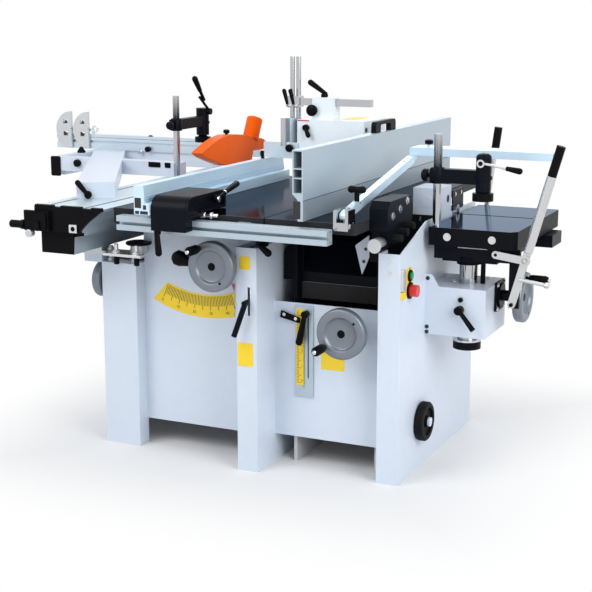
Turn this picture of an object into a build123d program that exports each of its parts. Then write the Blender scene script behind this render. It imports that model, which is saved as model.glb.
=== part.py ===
# Combination woodworking machine: sliding-table saw, planer and thicknesser,
# spindle moulder and slot mortiser on one sheet-steel cabinet.
# Millimetres, +X to the right along the front, +Y away from the front, +Z up.
# The origin is on the floor, at the centre of the four anchor holes.
import os
from math import atan2, cos, degrees, radians, sin, sqrt

from build123d import *

# Fits between pieces
SLIDE_GAP = 0.4          # between a slide and its way
SHAFT_GAP = 0.3          # radial room round a turning shaft
FACE_GAP = 0.5           # side room beside a moving plate

# Cabinet
CAB_W = 1080.0
CAB_D = 760.0
SHEET = 4.0
LEFT_LEG_W = 135.0
LEFT_LEG_TOP = 640.0
LEG_SHELF_D = 58.0
SAW_PANEL_IN = 55.0
SAW_PANEL_Z = 88.0
MID_LEG_X = 11.0
MID_LEG_W = 72.0
MID_LEG_OUT = 70.0
MID_LEG_TOP = 742.0
PANEL_LIP = 20.0
PLANER_PANEL_IN = 65.0
PLANER_PANEL_Z = 95.0
PLANER_PANEL_TOP = 548.0
RIGHT_LEG_W = 72.0
RIGHT_LEG_TOP = 745.0
SLOPE_END_Y = -150.0
BACK_Z = 40.0
KNIFE_GATE_X1 = -318.0
KNIFE_GATE_Z = 660.0
FOOT_SIDE = 84.0
FOOT_T = 8.0
ANCHOR_IN = 44.0
ANCHOR_R = 7.0
VENT_W = 90.0
VENT_H = 8.0
VENT_PITCH = 24.0
VENT_ROWS = 6
VENT_Z = 250.0
FEED_SLOT_X = 55.0
FEED_SLOT_W = 9.0
FEED_SLOT_Z = 522.0
FEED_SLOT_H = 93.0

# Saw table
TABLE_Z = 850.0
SAW_X0 = -405.0
SAW_X1 = 135.0
TABLE_Y0 = -504.0
SAW_Y1 = 500.0
SAW_H = 50.0
SAW_TOP_T = 14.0
SKIRT_T = 12.0
RIB_X = -150.0
RIB_Y = -330.0
NOTCH_W = 27.0
NOTCH_Y0 = 80.0

# Rip rail and rip fence
RAIL_X0 = -361.0
RAIL_X1 = 372.0
RAIL_Y0 = -560.0
RAIL_Y1 = -520.0
RAIL_Z0 = 788.0
RAIL_Z1 = 834.0
RAIL_WALL = 4.0
RAIL_SLOT = 10.0
RAIL_FOOT_W = 40.0
FENCE_X0 = -262.0
FENCE_W = 56.0
FENCE_LIFT = 1.0
FENCE_H = 90.0
FENCE_Y0 = -610.0
FENCE_Y1 = 415.0
FENCE_WALL = 4.0
FENCE_SHELF_H = 34.0
FENCE_NECK = 0.5          # share of the width above the shelf
FENCE_ROOT = 0.6          # share of the width where the neck starts
CARRIER_W = 131.0
CARRIER_Y0 = -606.0
CARRIER_Y1 = -350.0
CARRIER_H = 62.0
CARRIER_LIFT = 3.0
CARRIER_ROUND = 24.0
LOCK_R = 13.0
LOCK_LEN = 150.0
LOCK_BACK = 80.0
LOCK_RISE = 34.0
LOCK_T = 12.0
LOCK_BAR_R = 4.8

# Saw unit: the tilt axis runs along Y in the table top, above the blade plane
BLADE_X = -388.0
BLADE_R = 125.0
BLADE_T = 3.0
BLADE_Y = 240.0
BLADE_Z = 805.0
BLADE_TEETH = 24
TOOTH_DEPTH = 7.0
TOOTH_FACE = 0.18        # share of a tooth's pitch taken by its steep face
BLADE_BORE_R = 15.0
ARBOR_R = 14.9
FLANGE_R = 20.0
FLANGE_T = 8.0
NUT_R = 11.0
NUT_T = 6.0
PULLEY_R = 24.0
PULLEY_W = 20.0
PULLEY_X = -366.0
WEB_X = -344.0
WEB_T = 12.0
WEB_Z0 = 640.0
WEB_Z1 = 798.0
WEB_Y0 = -92.0
WEB_Y1 = 420.0
STRAP_ROOM = 10.0
STRAP_Z0 = 716.0
WEB_STEP_Z = 738.0
ARBOR_HUB_R = 27.0
ARBOR_HUB_X1 = -320.0
MOTOR_Y = 60.0
MOTOR_Z = 680.0
MOTOR_R = 60.0
MOTOR_LEN = 170.0
MOTOR_BOSS_R = 35.0
MOTOR_BOSS_LEN = 32.0
MOTOR_SHAFT_R = 9.0
MOTOR_PULLEY_R = 34.0
BELT_T = 5.0
GUIDE_X = -300.0
GUIDE_R = 12.0
GUIDE_Y_FRONT = -70.0
GUIDE_Y_REAR = 272.0
GUIDE_Z0 = 600.0
GUIDE_Z1 = 800.0
GUIDE_LUG = 16.0
GUIDE_LUG_R = 18.0
BOSS_Z0 = 705.0
BOSS_H = 68.0
BOSS_SIDE = 40.0
SECTOR_R0 = 62.0
SECTOR_R1 = 95.0
SECTOR_A0 = -80.0
SECTOR_A1 = -14.5
TONGUE_R0 = 75.0
TONGUE_R1 = 85.0
TONGUE_H = 6.0
SECTOR_T = 12.0
TILT_MAX = 45.0
GROOVE_OVER = 2.0
SECTOR_Y_FRONT = -110.0
SECTOR_Y_REAR = 300.0
ARM_W = 44.0
TIE_X = -225.0
TIE_Z = 780.0
TIE_R = 11.0
KNIFE_Y0 = 384.0
KNIFE_Y1 = 440.0
KNIFE_Z0 = 740.0
KNIFE_Z1 = 970.0
KNIFE_T = 2.4
KNIFE_PIN_Y = 405.0
KNIFE_PIN_Z = 958.0
KNIFE_PIN_R = 4.0
HOLDER_Y0 = 386.0
HOLDER_H = 56.0
GUARD_Y0 = -14.0
GUARD_Y1 = 535.0
GUARD_NOSE_Z0 = 972.0
GUARD_NOSE_Z1 = 986.0
GUARD_BELLY_Y0 = 138.0
GUARD_BELLY_Y1 = 380.0
GUARD_Z0 = 918.0
GUARD_TAIL_Z0 = 950.0
GUARD_TAIL_Z1 = 960.0
GUARD_RIDGE_Y0 = 141.0
GUARD_RIDGE_Y1 = 400.0
GUARD_RIDGE_Z = 1030.0
GUARD_REAR_Z = 1005.0
GUARD_HALF = 22.0
GUARD_TIP_HALF = 8.0
GUARD_CROWN = 10.0
GUARD_WALL = 3.0
GUARD_ROOM_Y0 = 30.0
GUARD_ROOM_Y1 = 490.0
DUST_R = 30.0
DUST_LEN = 98.0
DUST_LEAN = 28.0
DUST_Y = 440.0
DUST_WALL = 3.0
WHEEL_R = 80.0
WHEEL_RIM = 20.0
WHEEL_T = 24.0
HUB_R = 24.0
HUB_T = 34.0
CRANK_R = 13.0
CRANK_LEN = 62.0
WHEEL_SHAFT_R = 9.0
SPOKES = 3
SPOKE_W = 20.0
WHEEL_HOLE_AT = 0.58    # share of the way from hub centre to rim
SAW_WHEEL_X = -55.0
SAW_WHEEL_Z = 680.0
SAW_WHEEL_OUT = 155.0
SAW_SHAFT_IN = 55.0
SAW_WHEEL_TURN = 214.0

# Sliding table
SLIDE_X0 = -666.0
SLIDE_X1 = -408.0
SLIDE_Y0 = -560.0
SLIDE_Y1 = 660.0
SLIDE_Z0 = 768.0
SLIDE_TIP = 8.0
FLANK_X = -493.0
FLANK_Z = 775.0
SLIDE_WALL = 6.0
SLOT_W = 12.0
SLOT_D = 14.0
SLOT_UNDER_W = 22.0
SLOT_UNDER_H = 7.0
SLOT_X = (-628.0, -480.0)
BEAM_X0 = -659.0
BEAM_X1 = -532.0
BEAM_LEDGE_X = -495.0
BEAM_Z0 = 692.0
BEAM_LEDGE_Z = 750.0
BEAM_IN = 14.0
BEAM_CAP_T = 6.0
BEAM_WALL = 6.0
STRUT_Z0 = 664.0
STRUT_T = 12.0
STRUT_SHORT = 5.0
STRUT_END_IN = 2.0
STRUT_D = 54.0
LEVEL_BOLT_R = 8.0
LEVEL_BOLT_IN = (20.0, 110.0)
NUT_SIDE_R = 13.0
LEVEL_NUT_H = 10.0
CAP_T = 16.0
CAP_KNOB_R = 13.0
CAP_KNOB_LEN = 70.0
CAP_KNOB_X = -700.0
CAP_KNOB_Z = 783.0
LOCK_BOX_X0 = -699.0
LOCK_BOX_X1 = -603.0
LOCK_BOX_D = 14.0
LOCK_BOX_LIFT = 1.0
LOCK_BOX_TOP = 835.0
FRAME_H = 55.0
ARM_BASE_X = -575.0
ARM_BASE_Y = -350.0
ARM_WIDE = 130.0
OUTER_X0 = -1194.0
OUTER_W = 40.0
OUTER_Y0 = 304.0
OUTER_Y1 = 720.0
OUTER_Z0 = 830.0
CROSS_Y = 275.0
CROSS_W = 50.0
CROSS_X1 = -606.0
REAR_Y0 = 600.0
CUT_FENCE_X0 = -1387.0
CUT_FENCE_X1 = -424.0
CUT_FENCE_Y0 = 590.0
CUT_FENCE_D = 30.0
CUT_FENCE_H = 62.0
CUT_SLOT_W = 10.0
CUT_SLOT_D = 8.0
STOP_X = (-1303.0, -1218.0)
STOP_R = 76.0
STOP_T = 12.0
STOP_A0 = 90.0
STOP_A1 = 270.0
STOP_HUB_R = 11.0
STOP_HUB_IN = 8.0
STOP_HUB_LEN = 44.0
STOP_PIN_R = 5.0
STOP_AXIS_BACK = 6.0
STOP_AXIS_UP = 18.0
STOP_FACE_GAP = 2.0
STOP_POST_W = 8.0
STOP_WINDOW_X = 18.0
STOP_WINDOW_W = 22.0
STOP_WINDOW_H = 18.0
STOP_WINDOW_DZ = (-27.0, 24.0)
POST_X = -503.0
POST_Y = 79.0
POST_R = 12.0
POST_TOP = 1174.0
POST_FOOT_R = 26.0
POST_FOOT_H = 14.0
CLAMP_ARM_Z = 1051.0
CLAMP_ARM_LEN = 198.0
CLAMP_ARM_H = 38.0
CLAMP_ARM_W = 30.0
CLAMP_HEAD_R = 24.0
CLAMP_HEAD_H = 100.0
CLAMP_ROD_R = 7.0
CLAMP_PAD_R = 30.0
CLAMP_PAD_H = 20.0
CLAMP_PAD_Z = 990.0
CLAMP_PIN_R = 6.0
CLAMP_LEVER_LEN = 96.0

# Planer and thicknesser
PLANER_X0 = 140.0
PLANER_X1 = 440.0
PLANER_H = 34.0
PLANER_TOP_T = 14.0
OUTFEED_Y1 = 785.0
CUTTER_Y = 140.0
CUTTER_Z = 814.0
CUTTER_R = 35.0
CUTTER_ROOM = 2.5
CUTTER_SHAFT_R = 15.0
KNIFE_SLOTS = 3
KNIFE_W = 4.0
KNIFE_DEPTH = 10.0
GULLET_W = 9.0
CHUCK_R = 20.0
CHUCK_X0 = 500.0
CHUCK_X1 = 552.0
CHUCK_BORE_R = 8.0
CHUCK_BORE_LEN = 40.0
FRAME_T = 12.0
FRAME_IN = 25.0
FRAME_BACK_IN = 50.0
FRAME_FLOOR_Z = 60.0
BEARING_R = 33.0
BEAM_W = 90.0
BEAM_H = 20.0
BEAM_Z = 100.0
LIFT_TUBE_R = 52.0
LIFT_TUBE_TOP = 395.0
LIFT_ROD_R = 40.0
LIFT_ROD_Z0 = 290.0
BED_Z = 610.0
BED_T = 40.0
BED_APRON_H = 56.0
BED_IN = 28.0
BED_Y1 = 262.0
BED_SIDE_GAP = 3.0
ROLLER_R = 18.0
ROLLER_DY = 62.0
ROLLER_Z = 786.0
ROLLER_STUB_R = 8.0
ROLLER_GROOVES = 12
GROOVE_W = 3.0
HOOD_IN = 6.0
HOOD_Y1 = 40.0
HOOD_H = 128.0
HOOD_SIDE = 5.0
HOOD_SLOPE = 70.0
HOOD_WALL = 4.0
PLANER_MOTOR_X = 275.0
PLANER_MOTOR_IN = 90.0
PLANER_MOTOR_Z = 190.0
PLANER_MOTOR_R = 80.0
PLANER_MOTOR_LEN = 200.0
MOTOR_FOOT_W = 150.0
MOTOR_FOOT_T = 12.0
PLANER_WHEEL_X = 358.0
PLANER_WHEEL_Z = 485.0
PLANER_WHEEL_OUT = 85.0
PLANER_SHAFT_IN = 33.0
PLANER_WHEEL_TURN = -50.0
SCALE_X0 = 158.0
SCALE_W = 64.0
SCALE_Z0 = 236.0
SCALE_H = 306.0
SCALE_T = 6.0
SCALE_SLOT_W = 8.0
PFENCE_X0 = 243.0
PFENCE_T = 35.0
PFENCE_Y0 = -525.0
PFENCE_Y1 = 880.0
PFENCE_LIFT = 1.0
PFENCE_H = 215.0
PFENCE_WALL = 4.0
PFENCE_STEP = 64.0
PFENCE_CELLS = (0.36, 0.22, 0.42)   # shares of the height, from the bottom up
PFENCE_BAR_Y = 560.0
PFENCE_BAR_R = 12.0
PFENCE_BAR_LEN = 230.0
PFENCE_FOOT_W = 60.0
FENCE_BLOCK_X = 112.0
FENCE_BLOCK_W = 46.0
PFENCE_FOOT_D = 70.0
PFENCE_FOOT_H = 90.0
CARRY_X1 = 500.0
CARRY_Y0 = -390.0
CARRY_Y1 = -170.0
CARRY_Z1 = 905.0
CARRY_STEP_Z = 816.0
LIFT_BAR_R = 22.0
LIFT_BAR_Z = 774.0
LIFT_BAR_Y0 = -424.0
BRACKET_X0 = 376.0
BRACKET_X1 = 424.0
BRACKET_Y0 = -522.0
BRACKET_Y1 = -466.0
BRACKET_Z0 = 830.0
BRACKET_Z1 = 892.0
EAR_T = 10.0
ARM_PIVOT_Y = -492.0
ARM_PIVOT_Z = 872.0
ARM_PIN_R = 6.0
ARM_T = 22.0
ARM_DEPTH = 26.0
ARM_RISE = 11.0
STRIP_X0 = 395.0
STRIP_LEN = 485.0
STRIP_Y0 = 92.0
STRIP_W = 96.0
STRIP_Z = 998.0
STRIP_T = 26.0
STRIP_WALL = 2.5
STRIP_LIP = 10.0
HEAD_LEN = 50.0

# Spindle moulder
SPINDLE_X = 20.0
SPINDLE_IN = 60.0
SPINDLE_HOLE_R = 46.0
QUILL_R = 34.0
QUILL_Z0 = 560.0
QUILL_Z1 = 770.0
HOUSING_R = 44.0
HOUSING_Z0 = 640.0
CUP_Z0 = 740.0
CUP_FLOOR_T = 10.0
CUP_WALL = 8.0
HOUSING_FLANGE_R = 66.0
HOUSING_FLANGE_T = 10.0
SPINDLE_R = 15.0
SPINDLE_TOP = 955.0
SPINDLE_SHOULDER_R = 26.0
COLLAR_H = 14.0
TOOL_R = 40.0
TOOL_H = 40.0
TOOL_Z = 868.0
SPINDLE_MOTOR_R = 46.0
SPINDLE_MOTOR_H = 150.0
SPINDLE_WHEEL_IN = 52.0
SPINDLE_WHEEL_Z = 571.0
SPINDLE_WHEEL_R = 62.0
SPINDLE_WHEEL_OUT = 16.0
MHOOD_X0 = -106.0
MHOOD_X1 = 155.0
MHOOD_AHEAD = 52.0
MHOOD_BEHIND = 160.0
MHOOD_Z1 = 1088.0
MHOOD_T = 4.0
MFENCE_T = 14.0
MFENCE_H = 110.0
MFENCE_W = 40.0
MBLOCK_X0 = -56.0
MBLOCK_W = 84.0
MBLOCK_D = 60.0
MBLOCK_H = 80.0
MBAR_Z = 1150.0
MBAR_SIDE = 26.0
MBAR_X0 = -134.0
MBAR_X1 = 165.0
MBAR_AHEAD = 2.0
MPOST_R = 10.0
MPOST_PITCH = 25.0
MPOST_Z0 = 1005.0
MPOST_Z1 = 1312.0
MCLAMP_T = 20.0
SHOE_W = 64.0
SHOE_H = 100.0
SHOE_Z0 = 992.0
SHOE_T = 5.0
SHOE_A0 = 2.0
SHOE_A1 = 80.0

# Mortiser
MB_OUT = 203.0
MB_Y0 = -149.0
MB_Y1 = 79.0
MB_Z0 = 448.0
MB_Z1 = 607.0
MB_WALL = 5.0
MB_FLANGE_H = 38.0
MB_FLANGE_W = 46.0
COL_OUT = 112.0
COL_Y = -40.0
COL_R = 30.5
COL_Z0 = 388.0
COL_COLLAR_R = 40.0
COL_COLLAR_H = 20.0
COL_CAP_R = 46.0
COL_CAP_H = 26.0
KNEE_Z = 690.0
KNEE_T = 12.0
KNEE_OUT = 50.0
KNEE_W = 180.0
KNEE_Y0 = -128.0
KNEE_Y1 = 250.0
KNEE_KEY_W = 40.0
KNEE_KEY_H = 10.0
SCREW_R = 8.0
SCREW_DX = 48.0
SADDLE_H = 44.0
SADDLE_OUT = 32.0
SADDLE_W = 228.0
SADDLE_Y0 = -160.0
SADDLE_Y1 = 300.0
SADDLE_KEY_W = 50.0
SADDLE_KEY_H = 10.0
LEVER_LEG_W = 34.0
LEVER_LEG_T = 12.0
MT_OUT = 20.0
MT_W = 284.0
MT_Y0 = -182.0
MT_Y1 = 356.0
MT_TOP = 805.0
MT_PLATE = 16.0
MT_SKIRT = 12.0
MT_CORNER = 20.0
MT_SLOT_Y = 120.0
LEV_OUT = 296.0
LEV_Z = 578.0
LEV_Y = -182.5
LEV_T = 10.0
LEV_W = 24.0
LEV_LINK_DX = 40.0
LEV_LINK_DZ = 143.0
LEV_TOP_DX = 136.0
LEV_TOP_DZ = 498.0
LEV_FLAT = 0.66          # share of the lever that is a flat bar
LEV_BAR_R = 8.0
LEV_GRIP_LEN = 152.0
LEV_GRIP_R = 14.0
LEV_PIN_R = 6.0
CROSS_LEV_OUT = 26.0
CROSS_LEV_Y = 392.0
CROSS_LEV_T = 18.0
CROSS_LEV_DX = 46.0
CROSS_LEV_DZ = 380.0
CROSS_GRIP_LEN = 91.2
LINK_LEN = 93.0
LINK_DROP = 12.0
LINK_Y = -188.0
LINK_T = 6.0
LINK_PIN_R = 5.0
LINK_ROOM = 5.5
MWHEEL_OUT = 278.0
MWHEEL_Y = -4.0
MWHEEL_Z = 566.0
MWHEEL_TURN = -70.0
MWHEEL_FLANGE_R = 38.0
MWHEEL_FLANGE_T = 14.0
MLOCK_OUT = 120.0
MLOCK_Z = 538.0
MLOCK_LEN = 78.0
MLOCK_R = 9.0
MLOCK_HUB_R = 14.0
MLOCK_HUB_T = 24.0
MLOCK_ANGLE = -46.0
HD_OUT = 35.0
HD_Y = -150.0
HD_R = 13.5
HD_TOP = 1096.0
HD_ARM_Z = 944.0
HD_ARM_LEN = 149.0
HD_ARM_H = 44.0
HD_ARM_W = 34.0
HD_HEAD_R = 24.0
HD_HEAD_H = 108.0
HD_PAD_R = 33.0
HD_PAD_Z = 893.0
HD_PAD_H = 24.0
HD_PIN_R = 7.0
HD_LEVER_LEN = 128.0
BIT_W = 92.0
BIT_Y0 = -20.0
BIT_Y1 = 100.0
BIT_Z1 = 905.0
BIT_WALL = 4.0
BIT_HOLE_R = 14.0

# Controls and wheels on the right and front
BUTTON_IN = 80.0
START_Z = 667.0
STOP_Z = 620.0
START_R = 11.0
STOP_R_OUT = 19.0
SHANK_R = 8.0
SHANK_LEN = 22.0
BUTTON_TRAVEL = 5.0
START_HEAD = 5.0
STOP_HEAD = 24.0
ROLL_IN = 207.0
ROLL_Z = 159.0
ROLL_R = 65.0
ROLL_T = 30.0
ROLL_AXLE_R = 10.0
ROLL_DISH_R = 46.8
ROLL_DISH_D = 9.0
ROLL_HUB_R = 19.5
ROLL_NUT_R = 15.0
FEED_LEVER_R = 9.0
FEED_LEVER_LEN = 110.0
FEED_LEVER_OUT = 34.0
FEED_PIVOT_IN = 100.0
FEED_HUB_R = 12.0
FEED_PIN_R = 5.0

# Places worked out from the sizes above
LEFT = -CAB_W / 2
RIGHT = CAB_W / 2
FRONT = -CAB_D / 2
BACK = CAB_D / 2
LEG_X1 = LEFT + LEFT_LEG_W
SAW_PANEL_Y = FRONT + SAW_PANEL_IN
PLANER_PANEL_Y = FRONT + PLANER_PANEL_IN
MID_LEG_X1 = MID_LEG_X + MID_LEG_W
MID_LEG_Y = FRONT - MID_LEG_OUT
RIGHT_LEG_X = RIGHT - RIGHT_LEG_W
MB_X1 = RIGHT + MB_OUT
COL_X = RIGHT + COL_OUT
KNEE_X0 = RIGHT + KNEE_OUT
KNEE_X1 = KNEE_X0 + KNEE_W
SADDLE_X0 = RIGHT + SADDLE_OUT
SADDLE_X1 = SADDLE_X0 + SADDLE_W
MT_X0 = RIGHT + MT_OUT
MT_X1 = MT_X0 + MT_W
LEV_X = RIGHT + LEV_OUT
CROSS_LEV_X = RIGHT + CROSS_LEV_OUT
MWHEEL_X = RIGHT + MWHEEL_OUT
MLOCK_X = RIGHT + MLOCK_OUT
HD_X = RIGHT + HD_OUT
BIT_X0 = RIGHT - BIT_W
BIT_X1 = RIGHT
SAW_BOTTOM = TABLE_Z - SAW_H
PLANER_BOTTOM = TABLE_Z - PLANER_H
SAW_CEILING = TABLE_Z - SAW_TOP_T
MORTISE_PLATE_Z = MT_TOP - MT_PLATE
SADDLE_Z0 = KNEE_Z + KNEE_T + SLIDE_GAP
SADDLE_Z1 = SADDLE_Z0 + SADDLE_H
FENCE_Z0 = TABLE_Z + FENCE_LIFT
PFENCE_Z0 = TABLE_Z + PFENCE_LIFT
STRUT_X1 = LEG_X1 - STRUT_SHORT
STOP_AXIS_Y = CUT_FENCE_Y0 + STOP_AXIS_BACK
STOP_AXIS_Z = TABLE_Z + FRAME_H + CUT_FENCE_H + STOP_AXIS_UP
SAW_WHEEL_Y = SAW_PANEL_Y - SAW_WHEEL_OUT
SAW_SHAFT_END = SAW_PANEL_Y + SAW_SHAFT_IN
PLANER_WHEEL_Y = PLANER_PANEL_Y - PLANER_WHEEL_OUT
PLANER_SHAFT_END = PLANER_PANEL_Y + PLANER_SHAFT_IN
FRAME_Y0 = PLANER_PANEL_Y + FRAME_IN
FRAME_Y1 = BACK - FRAME_BACK_IN
BED_Y0 = FRAME_Y0 + BED_IN
HOOD_Y0 = BED_Y0 + HOOD_IN
PLANER_MOTOR_Y = FRAME_Y1 - PLANER_MOTOR_IN
SPINDLE_Y = BACK - SPINDLE_IN
SPINDLE_WHEEL_X = LEFT - SPINDLE_WHEEL_OUT
SPINDLE_WHEEL_Y = FRONT + SPINDLE_WHEEL_IN
MHOOD_Y0 = SPINDLE_Y - MHOOD_AHEAD
MHOOD_Y1 = SPINDLE_Y + MHOOD_BEHIND
MBAR_Y = SPINDLE_Y - MBAR_AHEAD
BUTTON_Y = FRONT + BUTTON_IN
ROLL_Y = FRONT + ROLL_IN


def block(x0, x1, y0, y1, z0, z1):
    """A box between two corners."""
    return Pos((x0 + x1) / 2, (y0 + y1) / 2, (z0 + z1) / 2) * Box(x1 - x0, y1 - y0, z1 - z0)


def rod_x(x0, x1, y, z, r):
    return Pos((x0 + x1) / 2, y, z) * Rot(0, 90, 0) * Cylinder(r, x1 - x0)


def rod_y(x, y0, y1, z, r):
    return Pos(x, (y0 + y1) / 2, z) * Rot(90, 0, 0) * Cylinder(r, y1 - y0)


def rod_z(x, y, z0, z1, r):
    return Pos(x, y, (z0 + z1) / 2) * Cylinder(r, z1 - z0)


def bar_between(start, end, r):
    """A round bar from one point to another."""
    a = Vector(*start)
    b = Vector(*end)
    way = b - a
    return extrude(Plane(origin=a, z_dir=way.normalized()) * Circle(r), way.length)


def prism_x(points, x0, x1):
    """An outline of (y, z) points, pushed along X."""
    face = make_face(Polyline(*points, close=True))
    return extrude(Plane((x0, 0, 0), x_dir=(0, 1, 0), z_dir=(1, 0, 0)) * face, x1 - x0)


def prism_y(points, y0, y1):
    """An outline of (x, z) points, pushed along Y."""
    face = make_face(Polyline(*points, close=True))
    return extrude(Plane((0, y1, 0), x_dir=(1, 0, 0), z_dir=(0, -1, 0)) * face, y1 - y0)


def prism_z(points, z0, z1):
    """An outline of (x, y) points, pushed along Z."""
    face = make_face(Polyline(*points, close=True))
    return extrude(Plane((0, 0, z0), x_dir=(1, 0, 0), z_dir=(0, 0, 1)) * face, z1 - z0)


def sector(cx, cz, r0, r1, a0, a1, y0, y1):
    """Part of a flat ring about an axis along Y, between two angles from +X."""
    outer = Line((r0 * cos(radians(a0)), r0 * sin(radians(a0))),
                 (r1 * cos(radians(a0)), r1 * sin(radians(a0))))
    rim = CenterArc((0, 0), r1, a0, a1 - a0)
    inner = Line((r1 * cos(radians(a1)), r1 * sin(radians(a1))),
                 (r0 * cos(radians(a1)), r0 * sin(radians(a1))))
    bore = CenterArc((0, 0), r0, a0, a1 - a0)
    face = make_face([outer, rim, inner, bore])
    return extrude(Plane((cx, y1, cz), x_dir=(1, 0, 0), z_dir=(0, -1, 0)) * face, y1 - y0)


def handwheel(radius, shaft_len):
    """A dished cast handwheel on +Z, its back at z = 0, with a crank handle and a shaft behind."""
    rim_in = radius - WHEEL_RIM
    rim = Cylinder(radius, WHEEL_T) - Cylinder(rim_in, WHEEL_T)
    rim = chamfer(rim.edges().filter_by(GeomType.CIRCLE), WHEEL_RIM / 5)
    wheel = Pos(0, 0, WHEEL_T / 2) * rim
    web = Pos(0, 0, WHEEL_T / 4) * Cylinder(rim_in + 1, WHEEL_T / 3)
    reach = rim_in * WHEEL_HOLE_AT
    step = 360 / SPOKES
    turns = [radians(step / 2 + k * step) for k in range(SPOKES)]
    holes = [Pos(reach * cos(a), reach * sin(a), 0) * Cylinder(SPOKE_W / 2, WHEEL_T) for a in turns]
    wheel += web - holes
    wheel += Pos(0, 0, HUB_T / 2) * Cylinder(HUB_R, HUB_T)
    wheel += Pos(0, 0, -shaft_len / 2) * Cylinder(WHEEL_SHAFT_R, shaft_len)
    crank = Pos(0, -(radius - WHEEL_RIM / 2), WHEEL_T)
    grip = revolve(Plane.XZ * make_face(Polyline(
        (0, -WHEEL_T / 2), (CRANK_R * 0.6, -WHEEL_T / 2), (CRANK_R * 0.7, CRANK_LEN * 0.2),
        (CRANK_R, CRANK_LEN * 0.6), (CRANK_R * 0.8, CRANK_LEN), (0, CRANK_LEN), close=True)), Axis.Z)
    return wheel + crank * grip


def ratchet_lever(hub_r, hub_t, length, r):
    """A clamping lever on +Z: a hub at the origin and a tapered arm along +X."""
    hub = Pos(0, 0, hub_t / 2) * Cylinder(hub_r, hub_t)
    arm = Plane((0, 0, hub_t * 0.6), x_dir=(0, 1, 0), z_dir=(1, 0, 0.22)) * Circle(r * 0.75)
    tip = Plane((length, 0, hub_t * 0.6 + length * 0.22), x_dir=(0, 1, 0), z_dir=(1, 0, 0.22)) * Circle(r)
    return hub + loft([arm, tip])


def motor(length, radius, boss_r, boss_len):
    """An electric motor along +Z from z = 0: mounting boss, ribbed barrel and fan cover."""
    body = Pos(0, 0, boss_len / 2) * Cylinder(boss_r, boss_len)
    body += Pos(0, 0, boss_len + length / 2) * Cylinder(radius * 0.9, length)
    for k in range(5):
        z = boss_len + length * (0.12 + 0.14 * k)
        body += Pos(0, 0, z) * Cylinder(radius, length * 0.05)
    return body + Pos(0, 0, boss_len + length * 0.9) * Cylinder(radius, length * 0.2)


def foot_plates(x_wall, side):
    """Two anchor plates inside a side wall, with a bolt hole each."""
    plates = []
    for end in (-1, 1):
        x = x_wall - side * (SHEET + FOOT_SIDE / 2)
        y = end * (BACK - SHEET - FOOT_SIDE / 2)
        plate = Pos(x, y, FOOT_T / 2) * Box(FOOT_SIDE, FOOT_SIDE, FOOT_T)
        hole = rod_z(x_wall - side * ANCHOR_IN, end * (BACK - ANCHOR_IN), -FOOT_T, 2 * FOOT_T, ANCHOR_R)
        plates.append(plate - hole)
    return plates


def left_side():
    wall = block(LEFT, LEFT + SHEET, FRONT, BACK, 0, LEFT_LEG_TOP)
    wall += block(LEFT, LEG_X1, FRONT, FRONT + SHEET, 0, LEFT_LEG_TOP)
    wall += block(LEG_X1 - SHEET, LEG_X1, FRONT, SAW_PANEL_Y + SHEET, 0, LEFT_LEG_TOP)
    for y0 in (FRONT, BACK - LEG_SHELF_D - SHEET):
        wall += block(LEFT, LEG_X1, y0, y0 + LEG_SHELF_D, LEFT_LEG_TOP - SHEET, LEFT_LEG_TOP)
    hole = rod_x(LEFT - SHEET, LEFT + 2 * SHEET, SPINDLE_WHEEL_Y, SPINDLE_WHEEL_Z,
                 WHEEL_SHAFT_R + SHAFT_GAP)
    return wall + foot_plates(LEFT, -1) - hole


def partition():
    front = block(MID_LEG_X, MID_LEG_X1, MID_LEG_Y, MID_LEG_Y + SHEET, 0, MID_LEG_TOP)
    front -= block(FEED_SLOT_X - FEED_SLOT_W / 2, FEED_SLOT_X + FEED_SLOT_W / 2, MID_LEG_Y - SHEET,
                   MID_LEG_Y + 2 * SHEET, FEED_SLOT_Z, FEED_SLOT_Z + FEED_SLOT_H)
    cheek = block(MID_LEG_X, MID_LEG_X + SHEET, MID_LEG_Y, SAW_PANEL_Y + SHEET, 0, MID_LEG_TOP)
    wall = block(MID_LEG_X1 - SHEET, MID_LEG_X1, MID_LEG_Y, BACK - SHEET, 0, MID_LEG_TOP)
    wall += block(MID_LEG_X1 - SHEET, MID_LEG_X1, SAW_PANEL_Y, BACK - SHEET, 0, SAW_BOTTOM)
    pin = rod_x(FEED_SLOT_X - FEED_HUB_R, MID_LEG_X1 - SHEET, MID_LEG_Y + FEED_PIVOT_IN,
                FEED_SLOT_Z + FEED_SLOT_H / 2, FEED_PIN_R)
    return front + cheek + wall + pin


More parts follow.
